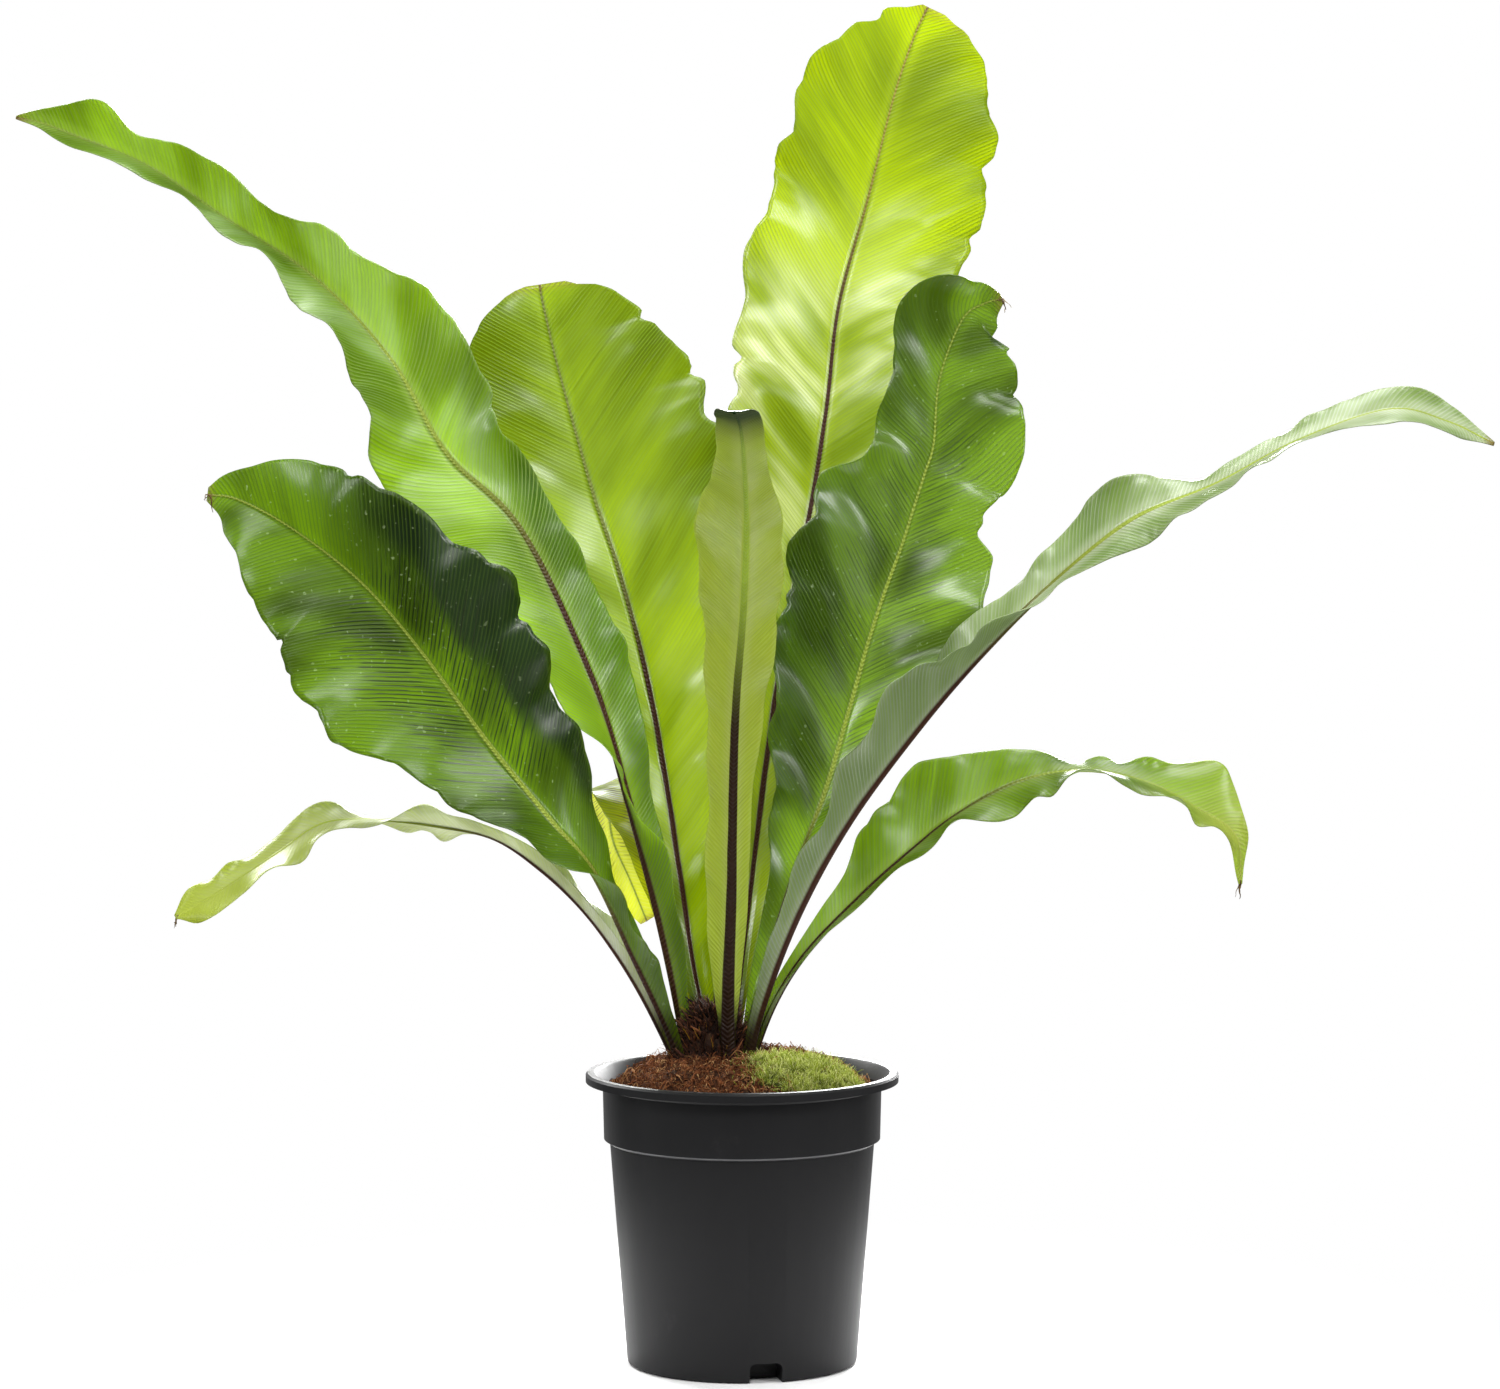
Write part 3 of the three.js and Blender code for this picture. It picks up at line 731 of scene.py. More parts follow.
def crown_finish(name, dark, brown, pale, gold=None):
    """Bark, or with a last colour for a few of them, loose scales that each have their own shade"""
    loose = gold is not None
    finish = Finish(name)
    place = finish.place()
    patches = finish.cloud(place, 150.0, 3.0, 0.6).step(0.4, 0.66)
    edges = finish.cloud(place, 600.0, 2.0, 0.5).step(0.6, 0.75)
    if loose:
        own = finish.three("shade")[0]
        patches = patches * 0.4 + own.step(0.3, 1.0) * 0.8
        edges = own.step(0.86, 0.97)
    colour = finish.mixed(patches, dark, brown)
    colour = finish.mixed(edges * 0.5, colour, pale)
    if loose:
        colour = finish.mixed(own.step(0.985, 0.99) * 0.9, colour, gold)
    normal = finish.bump(finish.cloud(place, 500.0), 0.001, 0.8)
    return finish.done(finish.surface(colour, 0.8, normal, Specular_IOR_Level=0.25))


bark = crown_finish("crown_bark", tone(30, 18, 13), tone(58, 36, 24), tone(120, 104, 48))
piece("crown_core", crown_mesh, [bark], "crown", sharp=40)

SCALES = 2400


def scale_path(dice, joints):
    height = dice.uniform(197, 238)
    turn = dice.uniform(0, math.tau)
    foot = crown_place(crown_radius(height) - 0.6, turn, height)
    out = Vector((math.cos(turn), math.sin(turn), 0))
    outwards = out * dice.uniform(0.1, 1.1)
    lean = (outwards + Vector((dice.gauss(0, 0.35), dice.gauss(0, 0.35), 1))).normalized()
    length = dice.uniform(4, 15)
    bend = out * dice.uniform(-2.5, 2.5)
    bend += Vector((dice.gauss(0, 1), dice.gauss(0, 1), dice.uniform(-2, 0.5)))
    return [foot + lean * length * k / joints + bend * (k / joints) ** 2 for k in range(joints + 1)]


def scale_width(dice):
    return dice.uniform(0.3, 0.75) if dice.random() < 0.88 else dice.uniform(1.0, 2.4)


scales = strand_coat(5, SCALES, 3, scale_path, scale_width, sides=4, flat=0.35, tip=0.12)
brown = tone(92, 52, 32)
papery = crown_finish("crown_scale", tone(22, 12, 9), brown, tone(164, 104, 62), tone(206, 156, 44))
piece("crown_scales_coat", scales, [papery])

# %% [markdown]
# A bird's nest fern has undivided fronds: one blade, waved along both margins, with a midrib
# that runs from the stalk to the tip. The table gives each frond as rows from foot to tip, in
# millimetres and degrees: the midrib's x, y and z, how far the upper face is turned about it, how
# far the two halves fold up, and the widths of the left and the right half. These are the same
# rows that the plain solids were made from.
#
# `rib` is half the midrib's width and `curl` bends each half further towards its margin. `wave`
# is the height, the length and the two phases of the slow waves, and `frill` the height and
# length of a second wave close to the margin. `pleats` deepens the swell between the side veins.
# A nick is a small tear: its side, its place as a share of the length, its depth and its half
# length. The upper face looks at the viewer unless `facing` says otherwise.

# %% The cross-sections of the fronds
FRONDS = {
    "frond_left_broad": {
        "nicks": [(-1, 0.8, 4, 0.007), (1, 0.62, 4, 0.015), (1, 0.86, 3, 0.01)],
        "rib": 3.2,
        "curl": (10, -35),
        "wave": (4, 66, 0.4, 4.5),
        "rows": [
            (-37, -8, 192, 90, 40, 3.8, 3.8),
            (-50, -12, 228, 90, 42, 9, 9),
            (-72, -18, 276, 85, 42, 20, 13),
            (-99, -26, 333, 68, 24, 30, 22),
            (-128, -31, 369, 38, 18, 37, 48),
            (-170, -38, 423, 12, 16, 55, 58),
            (-210, -41, 479, -6, 18, 82, 77),
            (-250, -42, 526, -10, 20, 73, 64),
            (-296, -42, 562, -6, 16, 50, 51),
            (-332, -40, 581, 0, 10, 24, 22),
            (-352, -39, 584, 0, 5, 4, 5),
        ],
    },
    "frond_left_arching": {
        "rib": 3.6,
        "curl": (0, 10),
        "wave": (5, 72, 1.2, 0.2),
        "rows": [
            (-35, 9, 190, 80, 40, 4, 4),
            (-43, 14, 240, 92, 42, 10, 10),
            (-58, 26, 306, 98, 42, 20, 18),
            (-78, 42, 378, 66, 30, 28, 20),
            (-103, 59, 458, 38, 8, 40, 31),
            (-151, 79, 557, 20, 2, 54, 29),
            (-202, 88, 609, 5, 10, 50, 43),
            (-241, 92, 674, 24, 24, 40, 51),
            (-292, 89, 729, 14, 40, 32, 35),
            (-350, 81, 768, 24, 50, 25, 27),
            (-390, 76, 796, 22, 44, 20, 30),
            (-417, 72, 811, 20, 48, 17, 17),
            (-446, 67, 822, 20, 38, 20, 32),
            (-472, 62, 832, 20, 38, 8, 12),
            (-490, 58, 836, 20, 38, 1.6, 1.6),
        ],
    },
    "frond_left_twisted": {
        "rib": 2.2,
        "curl": (0, 0),
        "wave": (3, 60, 0.5, 2.5),
        "frill": (4, 62),
        "rows": [
            (-40, 2, 193, 90, 40, 3.2, 3.2),
            (-64, 7, 241, 90, 42, 13, 18),
            (-84, 10, 274, 86, 40, 14, 21),
            (-107, 14, 304, 90, 25, 14, 16),
            (-135, 19, 330, 96, 36, 14, 20),
            (-167, 23, 351, 100, 10, 13, 13),
            (-205, 26, 359, 128, 10, 15, 15),
            (-243, 28, 363, 92, 4, 13, 13),
            (-282, 24, 361, 40, 10, 14, 15),
            (-312, 20, 342, 50, 10, 21, 14),
            (-345, 15, 320, 40, 10, 16, 13),
            (-364, 12, 308, 40, 10, 16, 15),
            (-381, 10, 299, 30, 10, 1.5, 1.5),
        ],
    },
    "frond_back_left": {
        "nicks": [(1, 0.84, 6, 0.012), (1, 0.93, 5, 0.012), (-1, 0.9, 5, 0.015)],
        "rib": 3.6,
        "curl": (0, -10),
        "wave": (4, 60, 2.4, 0.9),
        "rows": [
            (-17, 17, 200, 10, 40, 4.4, 4.4),
            (-31, 34, 252, 5, 40, 10, 14),
            (-42, 57, 321, 0, 34, 18, 27),
            (-54, 80, 396, 0, 24, 32, 39),
            (-67, 97, 462, -2, 18, 44, 63),
            (-85, 111, 528, -4, 15, 54, 86),
            (-102, 120, 578, -4, 12, 56, 97),
            (-117, 126, 630, -4, 10, 62, 94),
            (-129, 130, 674, -4, 8, 61, 77),
            (-136, 132, 704, -4, 6, 50, 56),
            (-139, 133, 718, -4, 5, 30, 38),
            (-140, 133, 725, -4, 4, 10, 18),
        ],
    },
    "frond_tall": {
        "nicks": [(-1, 0.64, 6, 0.01), (-1, 0.97, 9, 0.012), (1, 0.8, 4, 0.01)],
        "rib": 3.6,
        "curl": (10, -20),
        "wave": (4, 64, 0.1, 1.4),
        "rows": [
            (-6.5, 14, 203, -10, 40, 4.4, 4.4),
            (0, 36, 260, -8, 42, 9, 9),
            (9, 68, 338, -5, 36, 22, 18),
            (21, 104, 428, -4, 28, 40, 34),
            (34, 131, 504, 0, 20, 54, 43),
            (48, 156, 572, 0, 16, 65, 51),
            (59, 178, 640, 0, 14, 71, 61),
            (68, 199, 712, 0, 12, 72, 73),
            (89, 219, 788, 2, 12, 70, 81),
            (107, 236, 858, 4, 12, 67, 74),
            (121, 246, 900, 4, 10, 40, 54),
            (129, 250, 918, 4, 8, 13, 34),
            (132, 251, 924, 4, 8, 4, 14),
        ],
    },
    "frond_right_broad": {
        "nicks": [(-1, 0.57, 6, 0.015), (1, 0.7, 8, 0.02), (1, 0.93, 5, 0.012)],
        "pleats": 1.7,
        "rib": 3.0,
        "curl": (15, -20),
        "wave": (4, 60, 0.9, 2.8),
        "rows": [
            (1, 9, 193, -60, 40, 3.8, 3.8),
            (13, 18, 250, -50, 42, 9, 9),
            (33, 31, 318, -30, 40, 17, 19),
            (56, 42, 380, -14, 28, 41, 27),
            (72, 51, 434, -6, 22, 58, 41),
            (90, 58, 496, 0, 18, 74, 64),
            (108, 64, 546, 0, 16, 74, 64),
            (118, 65, 577, 0, 15, 68, 48),
            (124, 65, 596, 0, 15, 48, 54),
            (130, 66, 616, 0, 14, 44, 61),
            (134, 66, 660, 0, 12, 37, 55),
            (149, 63, 700, 4, 10, 44, 36),
            (164, 60, 711, 4, 8, 20, 20),
            (176, 57, 714, 4, 5, 3, 3),
        ],
    },
    "frond_right_arching": {
        "rib": 3.6,
        "curl": (0, 0),
        "wave": (4, 70, 2.6, 0.3),
        "frill": (2.5, 66),
        "rows": [
            (0, -9, 192, -85, 40, 4.4, 4.4),
            (14, -18, 246, -92, 42, 9, 9),
            (38, -28, 308, -95, 42, 14, 18),
            (72, -37, 370, -96, 42, 20, 27),
            (118, -45, 433, -96, 42, 26, 45),
            (159, -50, 481, -84, 38, 27, 34),
            (205, -53, 527, -62, 20, 20, 14),
            (256, -51, 568, -26, 14, 28, 20),
            (311, -45, 591, -66, 16, 11, 18),
            (367, -37, 620, -66, 22, 13, 17),
            (427, -28, 640, -40, 20, 16, 17),
            (466, -23, 632, -36, 16, 12, 12),
            (498, -18, 617, -30, 10, 1.6, 1.6),
        ],
    },
    "frond_right_low": {
        "rib": 2.2,
        "curl": (0, 0),
        "wave": (4, 56, 0.2, 1.8),
        "frill": (3.5, 52),
        "rows": [
            (3, -1, 193, -70, 40, 3.2, 3.2),
            (21, 1, 240, -66, 36, 7, 9),
            (43, 4, 275, -56, 32, 9, 12),
            (76, 6, 310, -50, 30, 18, 13),
            (110, 8, 341, -48, 28, 36, 16),
            (144, 10, 368, -46, 28, 41, 20),
            (184, 10, 390, -18, 20, 23, 23),
            (229, 10, 398, -76, 14, 14, 18),
            (272, 8, 390, -56, 22, 19, 20),
            (306, 6, 372, -50, 26, 38, 22),
            (331, 4, 354, -46, 20, 9, 11),
            (334, 4, 322, -40, 10, 1.5, 1.5),
        ],
    },
    "frond_front": {
        "facing": (0, 1, 0),
        "rib": 4.2,
        "curl": (0, 0),
        "wave": (3, 62, 0.6, 2.2),
        "rows": [
            (-9, -16, 196, 0, 30, 5, 5),
            (-9.5, -21, 228, 0, 32, 6.5, 7),
            (-9, -27, 262, 0, 32, 10, 13),
            (-7, -37, 320, 0, 30, 13, 20),
            (-6, -52, 380, 0, 26, 14, 18),
            (-4, -77, 446, 0, 24, 21, 21),
            (1, -112, 511, 0, 20, 25, 29),
            (3, -160, 563, 0, 18, 24, 34),
            (2, -215, 602, 0, 16, 15, 20),
            (0, -275, 628, 0, 14, 14, 16),
            (-3, -330, 640, 0, 10, 12, 13),
            (-4, -362, 641, 0, 5, 3, 3),
        ],
    },
    "frond_back_drooping": {
        "rib": 2.6,
        "curl": (0, 0),
        "wave": (3, 56, 1.5, 0.4),
        "rows": [
            (-26, 17, 196, 30, 40, 3.4, 3.4),
            (-42, 42, 255, 20, 36, 8, 8),
            (-56, 72, 318, 10, 26, 16, 16),
            (-72, 106, 362, 5, 16, 22, 22),
            (-86, 145, 380, 0, 10, 25, 25),
            (-94, 182, 368, 0, 8, 26, 26),
            (-93, 210, 334, 0, 8, 25, 27),
            (-80, 228, 300, 0, 6, 19, 22),
            (-69, 238, 271, 0, 4, 5, 7),
        ],
    },
}

# %% [markdown]
# A smooth curve is drawn through the rows, and the direction that the upper face looks in is
# carried along it without twisting. Then sections are picked at even steps along the midrib,
# so the strips of the blade stay close to square whatever the frond's length.

# %% From rows to even sections
ROW_STEP = 2.4
TRACE = 1600


def smooth_row(rows, t):
    last = len(rows) - 1
    i = min(int(t * last), last - 1)
    u = t * last - i

    def at(k, c):
        if k < 0:
            return 2 * rows[0][c] - rows[1][c]
        if k > last:
            return 2 * rows[last][c] - rows[last - 1][c]
        return rows[k][c]

    values = []
    for c in range(7):
        a, b, d, e = at(i - 1, c), at(i, c), at(i + 1, c), at(i + 2, c)
        steepest = u * (3 * (b - d) + e - a)
        values.append(b + 0.5 * u * (d - a + u * (2 * a - 5 * b + 4 * d - e + steepest)))
    return values


def sections_of(frond):
    facing = Vector(frond.get("facing", (0, -1, 0)))
    traced = []
    run = 0.0
    for i in range(TRACE + 1):
        x, y, z, turn, fold, left, right = smooth_row(frond["rows"], i / TRACE)
        middle = Vector((x, y, z))
        ahead = Vector(smooth_row(frond["rows"], min(1, (i + 0.5) / TRACE))[:3])
        behind = Vector(smooth_row(frond["rows"], max(0, (i - 0.5) / TRACE))[:3])
        along = (ahead - behind).normalized()
        facing = (facing - along * facing.dot(along)).normalized()
        if i:
            run += (middle - traced[-1]["middle"]).length
        traced.append(
            {
                "middle": middle,
                "facing": facing,
                "side": along.cross(facing),
                "turn": math.radians(turn),
                "fold": math.radians(fold),
                "halves": {-1: left, 1: right},
                "run": run,
            }
        )
    count = round(run / ROW_STEP)
    picked = []
    i = 0
    for k in range(count + 1):
        while i < TRACE and traced[i]["run"] < run * k / count - 1e-6:
            i += 1
        picked.append(dict(traced[i], share=traced[i]["run"] / run))
    return picked


# %% [markdown]
# The margin of the real frond ruffles at two scales: slow waves a few centimetres long, which
# the plain solid has too, and a fine crimp close to the edge. Between midrib and margin the
# blade also swells a little between its side veins. Both finer forms are added here.

# %% One half of a cross-section
RIB_COLUMNS = 4
BLADE_COLUMNS = 19
THICKNESS = 0.8
LOBE_DEPTH = 0.035
SCALLOP_LENGTH = 44
SCALLOP_DEPTH = 0.055
NIBBLE_DEPTH = 0.025
CRIMP_HEIGHT = 1.2
SWELL_HEIGHT = 4.4
VEIN_SLOPE = 0.85


def half_section(frond, section, hand):
    """The half's width, after a function that turns a share of it into a point and a normal there"""
    start = section["fold"] - hand * section["turn"]
    plain = section["halves"][hand]
    curl = math.radians(frond["curl"][0 if hand < 0 else 1]) * ease(plain / 30)
    height, length, left_phase, right_phase = frond["wave"]
    run = section["run"]
    swing = math.tau * run / length + (left_phase if hand < 0 else right_phase)
    broad = ease((plain - 6) / 24)
    ruffle = height * broad * math.sin(swing)
    seed = left_phase * 7 + right_phase * 3 + hand * 11
    nibble = NIBBLE_DEPTH * noise.noise(Vector((run / 9, seed, 0.5)))
    beat = math.pi * run / SCALLOP_LENGTH + 3.2 * noise.noise(Vector((run / 60, seed, 3.5)))
    scallop = SCALLOP_DEPTH * (abs(math.sin(beat)) - 0.6)
    torn = 0.0
    for side, place, deep, wide in frond.get("nicks", ()):
        if side == hand:
            torn = max(torn, deep * ease(1 - abs(section["share"] - place) / wide))
    width = plain * (1 + broad * (LOBE_DEPTH * math.cos(swing) + scallop + nibble)) - torn
    fine = noise.noise(Vector((run / 11, seed, 7.5))) - 0.6 * math.cos(2 * beat)
    crimp = CRIMP_HEIGHT * broad * fine
    frill, pitch = frond.get("frill", (0, 1))
    flutter = math.sin(math.tau * run / pitch + 4 * noise.noise(Vector((run / 50, seed, 9))))
    crimp += frill * ease(plain / 12) * ease(section["share"] / 0.3 - 1) * flutter

    def at(share):
        bent = start + curl * share / 2
        slope = start + curl * share
        side, facing = section["side"], section["facing"]
        point = section["middle"] + side * (hand * width * share * math.cos(bent))
        point += facing * (width * share * math.sin(bent))
        normal = facing * math.cos(slope) - side * (hand * math.sin(slope))
        swell = noise.noise(Vector(((run - VEIN_SLOPE * share * width) / 26, share * width / 110, seed)))
        swell *= SWELL_HEIGHT * frond.get("pleats", 1) * broad * share * (1.3 - share)
        point += normal * (ruffle * share * share + crimp * share**4 + swell)
        return point, normal

    return at, width


# %% [markdown]
# The blade is a grid that is extruded once, which gives an upper and a lower skin joined all
# round. Every point knows its row and column from the flat grid, and is then moved to its place
# in the cross-section. It also takes its distances from the midrib and from the foot with it,
# for the veins to follow.

# %% Turn the sections into a blade
def frond_columns():
    """Where each column of the grid is: which half, and whether in the midrib or in the blade"""
    half = [("rib", k / RIB_COLUMNS) for k in range(1, RIB_COLUMNS + 1)]
    half += [("blade", k / BLADE_COLUMNS) for k in range(1, BLADE_COLUMNS + 1)]
    left = [(-1, *each) for each in reversed(half)]
    return [*left, (1, "rib", 0.0), *[(1, *each) for each in half]]


COLUMNS = frond_columns()


def cross_section(frond, section):
    """For each column: upper point, lower point, and the numbers that the finish follows"""
    rib = frond["rib"] * blend(1, 0.22, min(1, section["share"] * 1.15))
    stalk = 1 - ease(section["share"] / 0.3)
    turn = section["turn"]
    crest = section["facing"] * math.cos(turn) + section["side"] * math.sin(turn)
    crown_up = blend(0.35, 0.75, stalk) * rib + THICKNESS / 2
    crown_down = 0.92 * rib + THICKNESS / 2
    halves = {hand: half_section(frond, section, hand) for hand in (-1, 1)}
    row = []
    for hand, zone, t in COLUMNS:
        at, width = halves[hand]
        plain = section["halves"][hand]
        flank = min(0.72, rib / plain)
        edge = blend(THICKNESS, rib * 1.25, stalk) / 2
        if zone == "rib":
            share = flank * t
            point, normal = at(share)
            normal = crest.lerp(normal, t).normalized()
            arch = math.sqrt(1 - t * t)
            up = blend(edge, crown_up, arch)
            down = blend(edge, crown_down, arch)
            ridge = t
        else:
            share = blend(flank, 1.0, t)
            point, normal = at(share)
            up = down = blend(edge, THICKNESS / 2 * (1 - 0.3 * t**4), min(1, t * 3))
            ridge = 1 + t * (1 / flank - 1)
        numbers = (hand * share * width * MM, section["run"] * MM, share)
        more = (ridge, plain * MM, section["share"])
        row.append((point + normal * up, point - normal * down, numbers, more))
    return row


def blade_mesh(frond):
    sections = sections_of(frond)
    table = [cross_section(frond, section) for section in sections]
    wide, long = len(COLUMNS) - 1, len(sections) - 1
    bm = bmesh.new()
    near = bm.verts.layers.float_vector.new("near")
    far = bm.verts.layers.float_vector.new("far")
    bmesh.ops.create_grid(bm, x_segments=wide, y_segments=long, size=1)
    lower_skin = list(bm.faces)
    grown = bmesh.ops.extrude_face_region(bm, geom=lower_skin, use_keep_orig=True)["geom"]
    upper = {g for g in grown if isinstance(g, bmesh.types.BMVert)}
    for v in bm.verts:
        column = round((v.co.x + 1) / 2 * wide)
        row = round((v.co.y + 1) / 2 * long)
        top_point, low_point, numbers, more = table[row][column]
        v.co = (top_point if v in upper else low_point) * MM
        v[near] = numbers
        v[far] = more
    for face in lower_skin:
        face.material_index = 1
    return bm, sections[-1]["run"]


# %% [markdown]
# Every mark on a leaf is drawn in the leaf's own distances, so that it bends with the blade: how
# far it is from the midrib, how far from the foot, and at what share of the length. Noise that is
# drawn out along the side veins gives the streaks, the broad bands and the soft folds.

# %% The leaf's own distances
VEIN_PITCH = 0.0031
SPORE_PITCH = 0.0038


class LeafFinish(Finish):
    def __init__(self, name, look, upper):
        super().__init__(name)
        self.look = look
        self.upper = upper
        self.across, self.run, self.part = self.three("near")
        self.ridge, self.half, self.along = self.three("far")
        self.distance = abs(self.across)
        self.climb = self.run - self.distance * VEIN_SLOPE
        self.streaks = self.grain(300, 12, 3, 3.0, 0.6)
        self.folds = self.grain(60, 6, 3)
        self.bands = self.grain(15, 9, 5, 2.0, seed=look["seed"])

    def grain(self, climb, distance, across, detail=1.0, rough=0.5, seed=0.0):
        """Noise with a scale of its own along the side veins, across them and from side to side"""
        sideways = self.across * across
        if seed:
            sideways = sideways + seed
        spot = self.joined(self.climb * climb, self.distance * distance, sideways)
        return self.cloud(spot, 1.0, detail, rough)

    def lines(self, pitch, sway):
        """A wave from -1 to 1 with its crests along the side veins, `pitch` metres apart"""
        return (self.climb * (math.tau / pitch) + sway).maths("SINE")

    def kept(self, mark, first, last, rise, fall):
        """The mark, kept only between two shares of the frond's length"""
        return mark * self.along.step(first, first + rise) * self.along.step(last, last - fall)


# %% [markdown]
# Three marks lie on some fronds only. A pale silvery sheen is painted on part of the blade for the
# glare of the lights. A painted shadow darkens one margin of a frond where others stand behind
# it. Rows of spore cases follow the side veins of the older fronds. The rows start beside the
# midrib and end at a ragged line. Dark green rows are painted shadow, the shadow that the spore
# cases on the back throw through the blade; brown rows are the spore cases' own colour.

# %% Painted sheen, painted shadow and spore lines
# painted sheen: a pale silvery colour laid on the blade where the lights would glare on the wax
def painted_sheen_mark(leaf):
    amount, start, end = leaf.look["painted_sheen"]
    sheen = (leaf.bands * 0.8 + leaf.folds * 0.2).step(0.46, 0.6) * (leaf.streaks + 0.4) * amount
    return leaf.kept(sheen, start, end, 0.12, 0.12)


# painted shadow along one margin, where another frond stands behind and blocks the light
def painted_shadow_mark(leaf):
    hand, first, last, amount = leaf.look["dark"]
    zone = (leaf.across * hand + (leaf.bands - 0.5) * 0.05).step(0.025, 0.042)
    return leaf.kept(zone, first, last, 0.15, 0.1) * amount


# spore lines; where their colour is dark green, it is the painted shadow that the spore cases on the
# back throw through the blade
def spore_and_shadow_mark(leaf):
    first, last, reach, strength = leaf.look["sori"]
    row = leaf.joined(leaf.climb * 240, leaf.across.step(-0.001, 0.001) * 9)
    label = leaf.cloud(row, 1.0, 2.0, 0.7)
    wander = leaf.grain(40, 30, 3, 2.0)
    spore_and_shadow = leaf.lines(SPORE_PITCH, wander * 5).step(0.35, 0.8)
    spread = (reach + (label - 0.5) * 2.4 - leaf.part).step(0.0, 0.06)
    faint = leaf.grain(200, 60, 2, 2.0)
    spore_and_shadow = spore_and_shadow * spread * leaf.distance.step(0.0025, 0.005) * faint.step(0.3, 0.5)
    return leaf.kept(spore_and_shadow, first, last, 0.04, 0.05) * strength


# %% [markdown]
# The blade mixes a dark and a middle green by its bands and streaks, and the side veins are paler.
# A leaf is thin, so light from behind comes through it as a warmer, yellower green. Less of it
# comes through where a vein, the painted sheen, the painted shadow or a row of spore cases is in
# the way, so that share is worked out side by side with the colour.

# %% Colour of the blade
def blade_colour(leaf, veins):
    """The blade's colour, and the share of the light from behind that comes through it"""
    look = leaf.look
    deep, fresh, pale = look["face"] if leaf.upper else look["back"]
    tint = (leaf.bands - 0.5) * look["contrast"] + (leaf.streaks - 0.5) * 0.5 + 0.5 + look["lighten"]
    tint = tint.step(0.1, 0.9)
    colour = leaf.mixed(tint, deep, fresh)
    colour = leaf.mixed(veins * look["veins"], colour, pale)
    # the painted sheen is mixed into the colour
    sheen = painted_sheen_mark(leaf)
    colour = leaf.mixed(sheen, colour, look["painted_sheen_colour"])
    spots = leaf.cloud(leaf.place(), 330.0, 0.0).step(0.76, 0.82)
    colour = leaf.mixed(spots * look["spots"], colour, tone(176, 196, 140))
    through = look["through"] * (0.62 + tint * 0.5) * (1 - veins * 0.55) * (1 - sheen * 0.3)
    through = through * (1 - leaf.along.step(0.35, 0.75) * look["fade"])
    # painted shadow: a darker colour and less light through along one margin
    if look["dark"]:
        zone = painted_shadow_mark(leaf)
        colour = leaf.mixed(zone * 0.6, colour, deep)
        through = through * (1 - zone)
    # the spore lines stop light from behind; their dark green colour is painted shadow
    if look["sori"]:
        spore_and_shadow = spore_and_shadow_mark(leaf)
        colour = leaf.mixed(spore_and_shadow, colour, look["spore_and_shadow"])
        through = through * (1 - spore_and_shadow * 0.85)
    margin = (leaf.half - leaf.distance).step(0.003, 0.0008)
    colour = leaf.mixed(margin * 0.15, colour, pale)
    beside = leaf.distance.step(0.010, 0.003)
    colour = leaf.mixed(beside * look["beside"], colour, pale)
    return colour, through


# %% [markdown]
# The midrib has a colour for the stalk and another one further up, the tip may be dead, and the
# stalk goes dark brown where it stands among the scales. A Principled shader gives the face its
# wax, a clear coat that lies in bands, and a Translucent shader gives the light from behind. The
# side veins, streaks and folds also press faint bumps into the blade.

# %% The leaf's finish
def leaf_finish(name, look, upper):
    leaf = LeafFinish(name, look, upper)
    lines = leaf.lines(VEIN_PITCH, leaf.grain(70, 14, 4) * 7)
    colour, through = blade_colour(leaf, lines.step(0.2, 1.0))
    rib = leaf.ridge.step(look["rib_wide"] + 0.3, look["rib_wide"])
    low, high = look["rib"]
    turn = leaf.along.step(look["rib_turns"] - 0.12, look["rib_turns"] + 0.12)
    colour = leaf.mixed(rib, colour, leaf.mixed(turn, low, high))
    start, end, dead = look["tip"]
    ending = leaf.along.step(start, end)
    colour = leaf.mixed(ending, colour, dead)
    through = through * (1 - ending * look["tip_block"])
    colour = leaf.mixed(leaf.run.step(0.062, 0.03), colour, tone(38, 23, 15))
    side = 0 if upper else 1
    roughness = look["gloss"][side] + (leaf.streaks - 0.5) * 0.16 + (leaf.bands - 0.5) * 0.2
    normal = leaf.bump(leaf.folds, 0.0012)
    normal = leaf.bump(leaf.streaks, 0.0004 * look["relief"], 1.0, normal)
    normal = leaf.bump(lines, 0.00018 * look["relief"], 1.0, normal)
    wax = look["wax"][side] * (1 - rib) * leaf.along.step(look["dull"], look["dull"] - 0.08)
    face = leaf.surface(
        colour,
        roughness,
        normal,
        Specular_IOR_Level=0.2,
        Coat_Weight=leaf.bands.step(0.3, 0.6) * wax,
        Coat_IOR=2.0,
        Coat_Roughness=look["polish"],
    )
    glow = leaf.node("ShaderNodeBsdfTranslucent", values={"Color": look["glow"]})
    both = leaf.node("ShaderNodeMixShader", values={0: through * (1 - rib), 1: face, 2: glow})
    return leaf.done(both)
